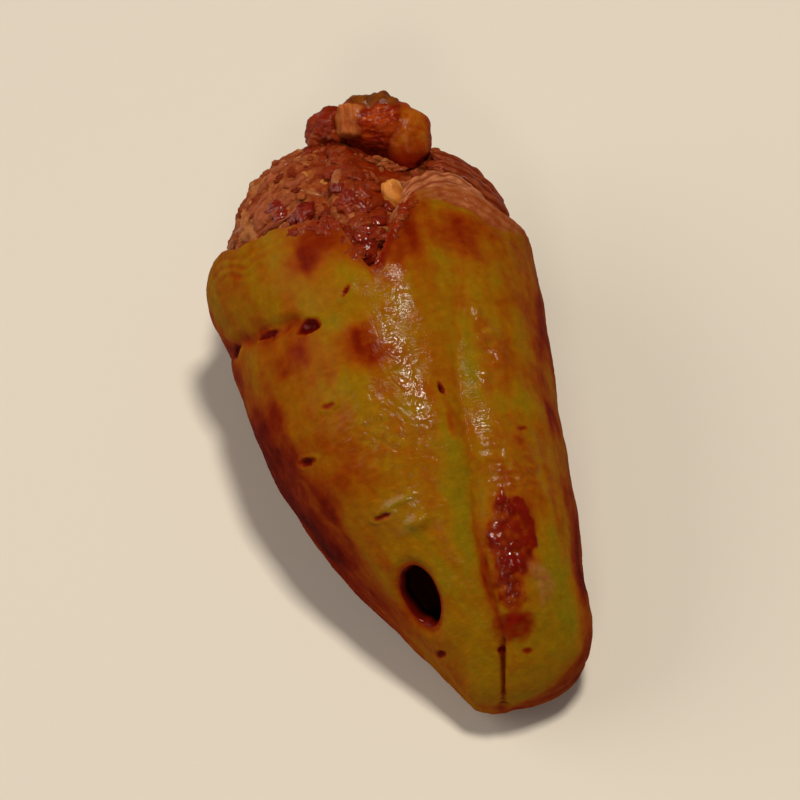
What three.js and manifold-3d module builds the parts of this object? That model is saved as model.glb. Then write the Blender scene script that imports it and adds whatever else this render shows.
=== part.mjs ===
// A small stuffed sweet pepper, cooked and lying on its side: the pepper wall with
// its cut mouth and a hole near the tip, the minced filling that runs through it and
// heaps out of the mouth, and the one large lump that sits on the end of the heap.
// Millimetres, +Z up, the blossom tip towards -Y and the mouth towards +Y.
import * as THREE from "three";
import { mergeVertices } from "three/addons/utils/BufferGeometryUtils.js";
import Module from "manifold-3d";

const wasm = await Module();
wasm.setup();

// ---- driving dimensions ------------------------------------------------------
const WALL = 2.8; // cooked wall of the pepper
const GAP = 0.35; // clearance between wall and filling
const TIP_Y = -51; // blossom tip
const AROUND = 48; // facets round the section
const ALONG_WALL = 27; // rows from tip to mouth
const ALONG_HEAP = 10; // rows from mouth to the end of the heap
const FILL_START = 6.5; // the filling begins this far behind the tip
const MOUTH_MID = 71; // mean distance from tip to the rim
const MOUTH_LEAN = 4; // the rim is set back this much on top, and forward below
const MOUTH_SKEW = 4; // and set back this much at +X, forward at -X
const TEAR_DEPTH = 10.0; // V-shaped tear in the upper rim
const TEAR_AT = 94.5; // its place round the section, degrees from +X through +Z
const TEAR_WIDTH = 11; // its half width in degrees
const TEAR_STEEP = 0.47; // the side of the tear towards -X is steeper, and the other
const TEAR_SLACK = 1.15; // side slacker, by these shares of the width
// Where the rim stands further out or is set back: place round the section, half width
// in degrees, and reach. The first is the flap beside the tear.
const RIM_SWELLS = [
  { at: 59, half: 14, reach: 5.5 },
  { at: 112, half: 20, reach: -1.8 },
  { at: 138, half: 12, reach: -1.7 },
  { at: 170, half: 18, reach: -3.0 },
];
const HEAP_END = new THREE.Vector3(-3.5, 40.87, 22.5); // far end of the heap
const HEAP_SWELL = 0.8; // how far the heap swells past the line of the rim
const HEAP_SIDES = 0.0; // and this much more at its sides
const HEAP_DIP = { x: 0.2, y: 29.0, z: 36.5, depth: 3.6, half: 7.5 }; // hollow in front of the lump
const HOLE = { x: -8.8, y: -38.0, z: 20.9, along: 10.2, across: 6.4, depth: 14, pocket: 9.5 };
const LUMP = { x: 0.8, y: 33.3, z: 35.4, rx: 8.0, ry: 5.4, rz: 5.4 };
const ORIGIN_SHIFT = new THREE.Vector3(4.535, 4.745, 0); // puts the origin under the middle

// Sections along the pepper. s is the distance from the tip, x the sideways offset of
// the section, w its half width, lo and hi the heights of its underside and crown.
const SECTIONS = [
  { s: 0, x: 2.2, w: 0, lo: 7.6, hi: 7.6 },
  { s: 1, x: 3.2, w: 5.9, lo: 3.0, hi: 12.4 },
  { s: 4, x: 4.5, w: 9.7, lo: 0.4, hi: 17.6 },
  { s: 9, x: 3.8, w: 12.2, lo: -0.5, hi: 22.9 },
  { s: 15, x: 1.8, w: 14.4, lo: -0.9, hi: 27.4 },
  { s: 23, x: -0.3, w: 17.8, lo: -1.1, hi: 32.2 },
  { s: 32, x: -2.6, w: 20.4, lo: -1.1, hi: 36.2 },
  { s: 42, x: -3.9, w: 22.4, lo: -1.1, hi: 39.4 },
  { s: 53, x: -4.1, w: 23.9, lo: -1.1, hi: 41.7 },
  { s: 64, x: -4.5, w: 25.1, lo: -0.9, hi: 42.4 },
  { s: 71, x: -4.8, w: 24.7, lo: 0.2, hi: 41.0 },
  { s: 77, x: -4.3, w: 21.6, lo: 2.6, hi: 37.6 },
  { s: 83, x: -3.8, w: 17.2, lo: 6.4, hi: 32.8 },
  { s: 88, x: -4.0, w: 13.0, lo: 10.4, hi: 28.0 },
];
const FULLEST = 0.44; // height of the widest line, as a share of the section's height
const SQUARE_TOP = 2.15; // superellipse powers of the upper and the lower half
const SQUARE_BOTTOM = 2.7;

// The furrow between the two upper lobes: its place round the section in degrees at
// distances from the tip.
const FURROW = [
  { s: 0, at: 116 },
  { s: 4, at: 108 },
  { s: 7.5, at: 103.5 },
  { s: 12, at: 97.5 },
  { s: 16.5, at: 91.5 },
  { s: 20.5, at: 86.5 },
  { s: 24.5, at: 83 },
  { s: 28.5, at: 80.5 },
  { s: 32.5, at: 78 },
  { s: 38, at: 73 },
  { s: 45, at: 67.5 },
  { s: 52, at: 65.5 },
  { s: 60, at: 64 },
  { s: 78, at: 62 },
];

// Grooves between the lobes: place round the section at the tip and at the mouth in
// degrees, half width in degrees, and depth (share of the radius) at tip and mouth. The
// first runs along the furrow.
const GROOVES = [
  { furrow: true, half: 13, atTip: 0.17, atMouth: 0.035 },
  { tip: 200, mouth: 196, half: 16, atTip: 0.1, atMouth: 0.045 },
  { tip: 350, mouth: 338, half: 15, atTip: 0.13, atMouth: 0.05 },
  { tip: 270, mouth: 262, half: 18, atTip: 0.1, atMouth: 0.03 },
];

// ---- the surface --------------------------------------------------------------
const rad = Math.PI / 180;

// Smooth interpolation between the sections, in the square root of s so that the tip
// is blunt and round.
function section(s, key) {
  const q = Math.sqrt(Math.max(s, 0));
  const n = SECTIONS.length;
  let i = 0;
  while (i < n - 2 && SECTIONS[i + 1].s < s) i++;
  const at = (k) => Math.sqrt(SECTIONS[k].s);
  const v = (k) => SECTIONS[k][key];
  const slope = (k) => {
    if (k <= 0) return (v(1) - v(0)) / (at(1) - at(0));
    if (k >= n - 1) return (v(n - 1) - v(n - 2)) / (at(n - 1) - at(n - 2));
    return (v(k + 1) - v(k - 1)) / (at(k + 1) - at(k - 1));
  };
  const h = at(i + 1) - at(i);
  const t = (q - at(i)) / h;
  const t2 = t * t;
  const t3 = t2 * t;
  return (
    (2 * t3 - 3 * t2 + 1) * v(i) +
    (t3 - 2 * t2 + t) * h * slope(i) +
    (3 * t2 - 2 * t3) * v(i + 1) +
    (t3 - t2) * h * slope(i + 1)
  );
}

const turn = (a) => Math.atan2(Math.sin(a), Math.cos(a));
const bell = (d, w) => Math.exp(-((d / w) * (d / w)));
const mix = (a, b, t) => a + (b - a) * t;
const clamp01 = (t) => Math.min(Math.max(t, 0), 1);

function furrow(s) {
  let i = 0;
  while (i < FURROW.length - 2 && FURROW[i + 1].s < s) i++;
  const [p, q] = [FURROW[i], FURROW[i + 1]];
  return mix(p.at, q.at, clamp01((s - p.s) / (q.s - p.s)));
}

function groove(a, s) {
  let g = 0;
  const u = clamp01(s / 78);
  for (const k of GROOVES) {
    const place = (k.furrow ? furrow(s) : mix(k.tip, k.mouth, Math.sqrt(u))) * rad;
    const depth = mix(k.atTip, k.atMouth, Math.pow(u, 0.45));
    const half = k.half * rad * (0.75 + 0.5 * u);
    g += depth * bell(turn(a - place), half);
  }
  return g;
}

// A fold across the left shoulder, where the wall has sunk in behind the crown.
function fold(a, s) {
  const d = s - (53 + 9.2 * turn(a - 130 * rad));
  return 0.07 * bell(d, 3.4) * bell(turn(a - 142 * rad), 38 * rad);
}

// A point of the outer surface. a is the angle round the section, s the distance from
// the tip.
function outer(a, s) {
  const lo = section(s, "lo");
  const hi = section(s, "hi");
  const mid = lo + (hi - lo) * FULLEST;
  const c = Math.cos(a);
  const z = Math.sin(a);
  const p = mix(SQUARE_BOTTOM, SQUARE_TOP, clamp01(0.5 + 2 * z));
  const r =
    Math.pow(Math.pow(Math.abs(c), p) + Math.pow(Math.abs(z), p), -1 / p) *
    (1 - groove(a, s) - fold(a, s));
  return new THREE.Vector3(
    section(s, "x") + section(s, "w") * r * c,
    TIP_Y + s,
    Math.max(mid + (z > 0 ? hi - mid : mid - lo) * r * z, 0),
  );
}

function normal(a, s) {
  const e = 0.02;
  const t = Math.max(s, 0.3);
  const du = outer(a + e, t).sub(outer(a - e, t));
  const dv = outer(a, t + 0.15).sub(outer(a, t - 0.15));
  return du.cross(dv).normalize().negate();
}

// The surface moved inwards by d; at the tip it is pulled straight back.
function inset(a, s, d) {
  if (s < 1e-6) return outer(a, 0).add(new THREE.Vector3(0, d, 0));
  const p = outer(a, s).addScaledVector(normal(a, s), -d);
  p.z = Math.max(p.z, d);
  return p;
}

// Distance of the rim from the tip: without the tear, and with it.
const brim = (a) =>
  MOUTH_MID -
  MOUTH_LEAN * Math.sin(a) -
  MOUTH_SKEW * Math.cos(a) +
  RIM_SWELLS.reduce((sum, k) => sum + k.reach * bell(turn(a - k.at * rad), k.half * rad), 0) +
  0.5 * Math.sin(5 * a + 0.7) +
  0.35 * Math.sin(9 * a + 2.1);
function rim(a) {
  const d = turn(a - TEAR_AT * rad);
  return brim(a) - TEAR_DEPTH * bell(d, TEAR_WIDTH * rad * (d > 0 ? TEAR_STEEP : TEAR_SLACK));
}

// ---- closed meshes from rings ---------------------------------------------------
// rows is a list of rings with the same count of points; the first and last are closed
// by a point each.
function loft(rows, first, last) {
  const n = rows[0].length;
  const pos = [];
  for (const row of rows) for (const p of row) pos.push(p.x, p.y, p.z);
  const a = rows.length * n;
  pos.push(first.x, first.y, first.z, last.x, last.y, last.z);
  const idx = [];
  for (let j = 0; j < rows.length - 1; j++)
    for (let i = 0; i < n; i++) {
      const k = (i + 1) % n;
      const p = j * n + i;
      const q = j * n + k;
      idx.push(p, p + n, q, q, p + n, q + n);
    }
  for (let i = 0; i < n; i++) {
    const k = (i + 1) % n;
    idx.push(a, i, k);
    idx.push(a + 1, (rows.length - 1) * n + k, (rows.length - 1) * n + i);
  }
  const g = new THREE.BufferGeometry();
  g.setAttribute("position", new THREE.Float32BufferAttribute(pos, 3));
  g.setIndex(idx);
  return g;
}

const angles = [...Array(AROUND).keys()].map((i) => ((i + 0.5) / AROUND) * 2 * Math.PI);
const spread = (j, n) => Math.pow(j / n, 1.45);

// ---- solids ---------------------------------------------------------------------
function solid(geometry) {
  const g = geometry.clone();
  g.deleteAttribute("normal");
  g.deleteAttribute("uv");
  const m = mergeVertices(g, 1e-4);
  const made = new wasm.Manifold(
    new wasm.Mesh({
      numProp: 3,
      vertProperties: new Float32Array(m.attributes.position.array),
      triVerts: new Uint32Array(m.index.array),
    }),
  );
  return made;
}

function geometryOf(manifold) {
  const m = manifold.getMesh();
  const g = new THREE.BufferGeometry();
  g.setAttribute("position", new THREE.BufferAttribute(m.vertProperties.slice(), 3));
  g.setIndex(new THREE.BufferAttribute(m.triVerts.slice(), 1));
  return g;
}

// Keeps the largest body of a cut.
function largest(manifold) {
  return manifold.decompose().sort((a, b) => b.volume() - a.volume())[0];
}

// The wall: out along the outside, over the rim and back along the inside. Grown, it
// is the space that the filling keeps clear of.
function wallGeometry(grow) {
  const rows = [];
  for (let j = 1; j <= ALONG_WALL; j++)
    rows.push(angles.map((a) => outer(a, (rim(a) + grow) * spread(j, ALONG_WALL))));
  for (let j = ALONG_WALL; j >= 1; j--)
    rows.push(angles.map((a) => inset(a, (rim(a) + grow) * spread(j, ALONG_WALL), WALL + grow)));
  return loft(rows, outer(0, 0), inset(0, 0, WALL + grow));
}

// A lump of the mince: a small swell with no pattern to it.
const lumpy = (p) =>
  Math.sin(p.x * 0.71 + p.z * 0.33 + 1.3) * Math.sin(p.y * 0.63 - p.z * 0.41 + 0.4) +
  0.6 * Math.sin(p.x * 1.13 - p.y * 0.97 + 2.2) * Math.sin(p.z * 1.21 + p.x * 0.37);

// The filling follows the inside of the wall, and comes up nearly level with the skin
// where the wall is torn.
function fill(a, s) {
  const up = clamp01((s - 57) / 6) * bell(turn(a - (TEAR_AT - 1) * rad), TEAR_WIDTH * rad);
  return inset(a, s, WALL + 2 * GAP - 2.3 * up);
}

// The heap outside the mouth: a dome from the ring of the rim to the far end.
const ring = angles.map((a) => fill(a, brim(a)));
const middle = ring
  .reduce((sum, p) => sum.add(p), new THREE.Vector3())
  .divideScalar(ring.length);
const reach = HEAP_END.clone().sub(middle);

const DIP_WAY = new THREE.Vector3(0, -0.35, -0.94); // the way that the hollow goes down

function heap(a, v) {
  const start = fill(a, brim(a));
  const t = (v * Math.PI) / 2;
  const p = start
    .clone()
    .addScaledVector(reach, Math.sin(t))
    .addScaledVector(middle.clone().sub(start), 1 - Math.cos(t));
  const out = start.clone().sub(middle).setY(0).normalize();
  const k = Math.min(1, 4 * v) * Math.min(1, 5 * (1 - v));
  const swell = HEAP_SWELL + HEAP_SIDES * out.x * out.x;
  p.addScaledVector(out, swell * Math.sin(2 * t) + 0.8 * k * lumpy(p));
  const dip = Math.hypot(p.x - HEAP_DIP.x, p.y - HEAP_DIP.y, p.z - HEAP_DIP.z);
  p.addScaledVector(DIP_WAY, HEAP_DIP.depth * bell(dip, HEAP_DIP.half));
  p.z = Math.max(p.z, WALL);
  return p;
}

function fillingGeometry() {
  const rows = [];
  const n = ALONG_WALL - 4;
  for (let j = 0; j <= n; j++)
    rows.push(
      angles.map((a) => fill(a, mix(FILL_START, brim(a), Math.pow(j / n, 1.1)))),
    );
  for (let j = 1; j < ALONG_HEAP; j++) rows.push(angles.map((a) => heap(a, j / ALONG_HEAP)));
  const first = new THREE.Vector3();
  for (const p of rows[0]) first.add(p);
  first.divideScalar(rows[0].length);
  first.y -= 2.5;
  return loft(rows, first, HEAP_END);
}

// The large lump: a rounded block with blunt corners and hollows.
function lumpGeometry(grow) {
  const g = mergeVertices(
    (() => {
      const b = new THREE.IcosahedronGeometry(1, 4);
      b.deleteAttribute("normal");
      b.deleteAttribute("uv");
      return b;
    })(),
    1e-4,
  );
  const at = g.attributes.position;
  const p = new THREE.Vector3();
  for (let i = 0; i < at.count; i++) {
    p.fromBufferAttribute(at, i);
    const block = Math.pow(
      Math.pow(Math.abs(p.x), 3) + Math.pow(Math.abs(p.y), 3) + Math.pow(Math.abs(p.z), 3),
      -1 / 3,
    );
    const dent =
      1 +
      0.1 * Math.sin(3.1 * p.x + 1.2) * Math.sin(2.7 * p.z + 0.5) +
      0.07 * Math.sin(5.3 * p.y - 2.1 * p.x + 0.8);
    p.multiplyScalar(block * dent);
    at.setXYZ(
      i,
      LUMP.x + p.x * (LUMP.rx + grow),
      LUMP.y + p.y * (LUMP.ry + grow),
      LUMP.z + p.z * (LUMP.rz + grow),
    );
  }
  return g;
}

// The hole is cut square to the surface, as an oval.
function atHole(g) {
  const n = new THREE.Vector3(-0.55, -0.63, 0.55).normalize();
  const along = new THREE.Vector3(-0.1, 0.69, 0.71).projectOnPlane(n).normalize();
  g.applyMatrix4(new THREE.Matrix4().makeBasis(along, n, along.clone().cross(n)));
  g.translate(HOLE.x, HOLE.y, HOLE.z);
  return g;
}

function holeCutter() {
  const g = new THREE.CylinderGeometry(HOLE.across / 2, HOLE.across / 2, HOLE.depth, 20, 1);
  g.scale(HOLE.along / HOLE.across, 1, 1);
  return atHole(g);
}

// The hollow in the filling behind the hole.
function pocketCutter() {
  const g = new THREE.SphereGeometry(1, 20, 14);
  g.scale(0.58 * HOLE.along, HOLE.pocket, 0.62 * HOLE.across);
  return atHole(g);
}

const lump = solid(lumpGeometry(0));
const wall = largest(solid(wallGeometry(0)).subtract(solid(holeCutter())));
const filling = largest(
  solid(fillingGeometry())
    .subtract(solid(wallGeometry(GAP)))
    .subtract(solid(pocketCutter()))
    .subtract(solid(lumpGeometry(GAP))),
);

// ---- the scene graph --------------------------------------------------------------
function piece(name, manifold, color, roughness) {
  const mesh = new THREE.Mesh(
    geometryOf(manifold),
    new THREE.MeshStandardMaterial({ color, roughness, metalness: 0 }),
  );
  mesh.name = name;
  return mesh;
}

const pepper = new THREE.Group();
pepper.add(piece("pepper_wall", wall, 0x7a6a12, 0.3));
pepper.add(piece("filling", filling, 0x7a2f1c, 0.6));
pepper.add(piece("top_lump", lump, 0x8a4418, 0.4));
pepper.position.copy(ORIGIN_SHIFT);

export default pepper;
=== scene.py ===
"""A cooked stuffed sweet pepper lying on its side: oily, blistered green skin with brown
and red sauce film, a torn mouth, moist mince heaped out of it and a lump on top."""
import math

import bmesh
import bpy
import numpy as np
from mathutils import Matrix, Vector


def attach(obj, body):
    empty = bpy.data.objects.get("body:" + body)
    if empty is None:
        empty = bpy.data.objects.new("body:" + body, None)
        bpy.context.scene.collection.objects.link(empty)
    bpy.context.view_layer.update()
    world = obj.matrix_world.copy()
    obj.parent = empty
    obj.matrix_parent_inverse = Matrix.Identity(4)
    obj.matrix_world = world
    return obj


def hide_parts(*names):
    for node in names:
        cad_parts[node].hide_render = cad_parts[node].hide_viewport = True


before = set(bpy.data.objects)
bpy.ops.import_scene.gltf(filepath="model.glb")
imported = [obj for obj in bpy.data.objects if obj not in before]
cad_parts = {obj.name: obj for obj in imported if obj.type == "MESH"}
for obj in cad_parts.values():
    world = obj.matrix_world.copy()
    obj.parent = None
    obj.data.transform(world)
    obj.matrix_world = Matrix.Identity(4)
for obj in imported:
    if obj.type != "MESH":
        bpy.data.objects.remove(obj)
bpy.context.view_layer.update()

# ---------------------------------------------------------------- the CAD's own surface
# Millimetres in the pepper's own axes; SHIFT moves them to the row frame.
SHIFT = np.array([4.535, 4.745, 0.0])
RAD = math.pi / 180
WALL, GAP, TIP_Y = 2.8, 0.35, -51.0
MOUTH_MID, MOUTH_LEAN, MOUTH_SKEW = 71.0, 4.0, 4.0
TEAR_DEPTH, TEAR_AT, TEAR_WIDTH, TEAR_STEEP, TEAR_SLACK = 10.0, 94.5, 11.0, 0.47, 1.15
RIM_SWELLS = [(59, 14, 5.5), (112, 20, -1.8), (138, 12, -1.7), (170, 18, -3.0)]
HEAP_END = np.array([-3.5, 40.87, 22.5])
HEAP_SWELL, HEAP_SIDES = 0.8, 0.0
HEAP_DIP, DIP_WAY = np.array([0.2, 29.0, 36.5]), np.array([0, -0.35, -0.94])
DIP_DEPTH, DIP_HALF = 3.6, 7.5
FILL_START = 6.5
HOLE = np.array([-8.8, -38.0, 20.9])
HOLE_N = np.array([-0.55, -0.63, 0.55]) / np.linalg.norm([-0.55, -0.63, 0.55])
_al = np.array([-0.1, 0.69, 0.71])
HOLE_U = _al - HOLE_N * (_al @ HOLE_N)
HOLE_U /= np.linalg.norm(HOLE_U)
HOLE_V = np.cross(HOLE_U, HOLE_N)
HOLE_ALONG, HOLE_ACROSS = 10.2, 6.4
LUMP = np.array([0.8, 33.3, 35.4])
LUMP_R = np.array([8.0, 5.4, 5.4])
# The lump's own axes: to the right, up the slope, and out of it.
LUMP_AXES = np.array([(0.9792, -0.1997, -0.0347), (0.1894, 0.8409, 0.5070), (-0.0721, -0.5030, 0.8612)])
FULLEST, SQUARE_TOP, SQUARE_BOTTOM = 0.44, 2.15, 2.7
SECTIONS = np.array([
    (0, 2.2, 0, 7.6, 7.6),
    (1, 3.2, 5.9, 3.0, 12.4),
    (4, 4.5, 9.7, 0.4, 17.6),
    (9, 3.8, 12.2, -0.5, 22.9),
    (15, 1.8, 14.4, -0.9, 27.4),
    (23, -0.3, 17.8, -1.1, 32.2),
    (32, -2.6, 20.4, -1.1, 36.2),
    (42, -3.9, 22.4, -1.1, 39.4),
    (53, -4.1, 23.9, -1.1, 41.7),
    (64, -4.5, 25.1, -0.9, 42.4),
    (71, -4.8, 24.7, 0.2, 41.0),
    (77, -4.3, 21.6, 2.6, 37.6),
    (83, -3.8, 17.2, 6.4, 32.8),
    (88, -4.0, 13.0, 10.4, 28.0),
], float)
# The furrow between the two upper lobes: distances from the tip and its place round.
FURROW_S = (0, 1, 3.4, 5.6, 8.3, 10.9, 13.6, 16.6, 19.6, 22.7, 25.9, 29.3, 32.8, 36.4, 40, 44.4, 49, 54, 60, 78)
FURROW_AT = (118, 116, 111, 106, 102, 98.8, 94.8, 90.8, 86, 82, 78.5, 76, 74.3, 72.8, 71, 68.8, 66.5, 64.5, 63, 62)
GROOVES = [  # the first runs along the furrow
    (0, 0, 13, 0.17, 0.035),
    (200, 196, 16, 0.1, 0.045),
    (350, 338, 15, 0.13, 0.05),
    (270, 262, 18, 0.1, 0.03),
]


def section(s, k):
    q = np.sqrt(np.maximum(s, 0))
    v, at = SECTIONS[:, k], np.sqrt(SECTIONS[:, 0])
    n = len(at)
    slope = np.empty(n)
    slope[0] = (v[1] - v[0]) / (at[1] - at[0])
    slope[-1] = (v[-1] - v[-2]) / (at[-1] - at[-2])
    slope[1:-1] = (v[2:] - v[:-2]) / (at[2:] - at[:-2])
    i = np.clip(np.searchsorted(SECTIONS[:, 0], s, side="left") - 1, 0, n - 2)
    h = at[i + 1] - at[i]
    t = (q - at[i]) / h
    t2, t3 = t * t, t * t * t
    return ((2 * t3 - 3 * t2 + 1) * v[i] + (t3 - 2 * t2 + t) * h * slope[i]
            + (3 * t2 - 2 * t3) * v[i + 1] + (t3 - t2) * h * slope[i + 1])


def turn(a):
    return np.arctan2(np.sin(a), np.cos(a))


def bell(d, w):
    return np.exp(-((d / w) ** 2))


def smooth(x, lo=0.0, hi=1.0):
    t = np.clip((x - lo) / (hi - lo), 0, 1)
    return t * t * (3 - 2 * t)


def outer(a, s):
    a, s = np.broadcast_arrays(np.asarray(a, float), np.asarray(s, float))
    lo, hi = section(s, 3), section(s, 4)
    mid = lo + (hi - lo) * FULLEST
    c, z = np.cos(a), np.sin(a)
    u = np.clip(s / 78, 0, 1)
    g = 0
    for tip, mouth, half, at_tip, at_mouth in GROOVES:
        place = (tip + (mouth - tip) * np.sqrt(u) if tip else np.interp(s, FURROW_S, FURROW_AT)) * RAD
        x = turn(a - place) / (half * RAD * (0.75 + 0.5 * u))
        # the lobes beside the furrow are round, and meet in a line
        g = g + (at_tip + (at_mouth - at_tip) * u**0.45) * (
            bell(x, 1) if tip else np.exp(0.16 - np.sqrt(x * x + 0.026) * (1.12 - 0.2 * u)))
    d = s - (53 + 9.2 * turn(a - 130 * RAD))
    fold = 0.07 * bell(d, 3.4) * bell(turn(a - 142 * RAD), 38 * RAD)
    p = SQUARE_BOTTOM + (SQUARE_TOP - SQUARE_BOTTOM) * np.clip(0.5 + 2 * z, 0, 1)
    r = (np.abs(c) ** p + np.abs(z) ** p) ** (-1 / p) * (1 - g - fold)
    return np.stack([
        section(s, 1) + section(s, 2) * r * c,
        TIP_Y + s,
        np.maximum(mid + np.where(z > 0, hi - mid, mid - lo) * r * z, 0),
    ], -1)


def surface_normal(a, s):
    e, t = 0.02, np.maximum(s, 0.3)
    du = outer(a + e, t) - outer(a - e, t)
    dv = outer(a, t + 0.15) - outer(a, t - 0.15)
    n = -np.cross(du, dv)
    return n / np.maximum(np.linalg.norm(n, axis=-1, keepdims=True), 1e-9)


def inset(a, s, d):
    a, s = np.broadcast_arrays(np.asarray(a, float), np.asarray(s, float))
    d = np.broadcast_to(np.asarray(d, float), a.shape)
    p = outer(a, s) - surface_normal(a, s) * d[..., None]
    p[..., 2] = np.maximum(p[..., 2], d)
    return p


def brim(a):
    swells = sum(reach * bell(turn(a - at * RAD), half * RAD) for at, half, reach in RIM_SWELLS)
    return (MOUTH_MID - MOUTH_LEAN * np.sin(a) - MOUTH_SKEW * np.cos(a) + swells
            + 0.5 * np.sin(5 * a + 0.7) + 0.35 * np.sin(9 * a + 2.1))


def rim(a):
    d = turn(a - TEAR_AT * RAD)
    return brim(a) - TEAR_DEPTH * bell(d, TEAR_WIDTH * RAD * np.where(d > 0, TEAR_STEEP, TEAR_SLACK))


# ------------------------------------------------------------------------------- noise
GRADS = np.array([(1, 1, 0), (-1, 1, 0), (1, -1, 0), (-1, -1, 0), (1, 0, 1), (-1, 0, 1),
                  (1, 0, -1), (-1, 0, -1), (0, 1, 1), (0, -1, 1), (0, 1, -1), (0, -1, -1)], float)


def hashed(x, y, z, seed):
    x, y, z = (v.astype(np.int64).astype(np.uint32) for v in (x, y, z))
    h = (x * np.uint32(374761393) + y * np.uint32(668265263) + z * np.uint32(2246822519)
         + np.uint32((seed * 3266489917) & 0xFFFFFFFF))
    h = (h ^ (h >> np.uint32(15))) * np.uint32(2246822519)
    h = (h ^ (h >> np.uint32(13))) * np.uint32(3266489917)
    return h ^ (h >> np.uint32(16))


def noise(p, seed=0):
    """Smooth noise from about -1 to 1."""
    p = np.asarray(p, float)
    shape = p.shape[:-1]
    p = p.reshape(-1, 3)
    i = np.floor(p).astype(np.int64)
    f = p - i
    u = f * f * f * (f * (f * 6 - 15) + 10)
    total = np.zeros(len(p))
    for dx in (0, 1):
        for dy in (0, 1):
            for dz in (0, 1):
                g = GRADS[hashed(i[:, 0] + dx, i[:, 1] + dy, i[:, 2] + dz, seed) % np.uint32(12)]
                w = ((u[:, 0] if dx else 1 - u[:, 0]) * (u[:, 1] if dy else 1 - u[:, 1])
                     * (u[:, 2] if dz else 1 - u[:, 2]))
                total += w * ((f - (dx, dy, dz)) * g).sum(1)
    return (total * 1.25).reshape(shape)


def fbm(p, octaves=3, seed=0, gain=0.5):
    total, amp = 0, 1.0
    for k in range(octaves):
        total = total + amp * noise(p * 2.03**k + 17.3 * k, seed + k)
        amp *= gain
    return total


def cells(p, seed=0):
    """Distance to the nearest and second nearest of scattered points, and a number from 0 to 1 for the nearest."""
    shape = p.shape[:-1]
    p = p.reshape(-1, 3)
    i = np.floor(p).astype(np.int64)
    f1, f2 = np.full(len(p), 9.0), np.full(len(p), 9.0)
    who = np.zeros(len(p))
    for dx in (-1, 0, 1):
        for dy in (-1, 0, 1):
            for dz in (-1, 0, 1):
                c = i + (dx, dy, dz)
                h = hashed(c[:, 0], c[:, 1], c[:, 2], seed)
                q = np.stack([(h & np.uint32(1023)) / 1023.0, ((h >> np.uint32(10)) & np.uint32(1023)) / 1023.0,
                              ((h >> np.uint32(20)) & np.uint32(1023)) / 1023.0], -1)
                d = np.linalg.norm(c + q - p, axis=1)
                near = d < f1
                f2 = np.where(near, f1, np.minimum(f2, d))
                who = np.where(near, (h % np.uint32(997)) / 997.0, who)
                f1 = np.minimum(f1, d)
    return f1.reshape(shape), f2.reshape(shape), who.reshape(shape)


# ------------------------------------------------------------------------------ meshes
def grid_faces(rows, cols, start=0, flip=False):
    """Quads of a grid that closes round in its columns."""
    j, i = np.meshgrid(np.arange(rows - 1), np.arange(cols), indexing="ij")
    k = (i + 1) % cols
    p, q = start + j * cols + i, start + j * cols + k
    f = np.stack([p, p + cols, q + cols, q], -1).reshape(-1, 4)
    return f[:, ::-1] if flip else f


def mesh_object(name, verts, faces, attributes, material, node=None):
    """verts in millimetres in the pepper's axes; faces a list of arrays of quads or triangles."""
    me = bpy.data.meshes.new(name)
    verts = (np.asarray(verts, float) + SHIFT) * 0.001
    me.vertices.add(len(verts))
    me.vertices.foreach_set("co", verts.astype(np.float32).ravel())
    faces = [np.asarray(f) for f in faces if len(f)]
    sizes = np.concatenate([np.full(len(f), f.shape[1]) for f in faces])
    corners = np.concatenate([f.ravel() for f in faces])
    me.loops.add(len(corners))
    me.loops.foreach_set("vertex_index", corners.astype(np.int32))
    me.polygons.add(len(sizes))
    me.polygons.foreach_set("loop_start", np.concatenate([[0], np.cumsum(sizes)[:-1]]).astype(np.int32))
    me.update(calc_edges=True)
    me.validate()
    me.polygons.foreach_set("use_smooth", np.ones(len(me.polygons), bool))
    for key, value in attributes.items():
        at = me.attributes.new(key, "FLOAT", "POINT")
        at.data.foreach_set("value", np.asarray(value, np.float32).ravel())
    me.materials.append(material)
    ob = bpy.data.objects.new(name, me)
    bpy.context.scene.collection.objects.link(ob)
    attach(ob, "root")
    if node:
        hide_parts(node)
    return ob


def row_normals(grid):
    """Outward normals of a grid of points that closes round in its columns."""
    du = np.roll(grid, -1, 1) - np.roll(grid, 1, 1)
    dv = np.gradient(grid, axis=0)
    n = -np.cross(du, dv)
    return n / np.maximum(np.linalg.norm(n, axis=-1, keepdims=True), 1e-9)


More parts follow.
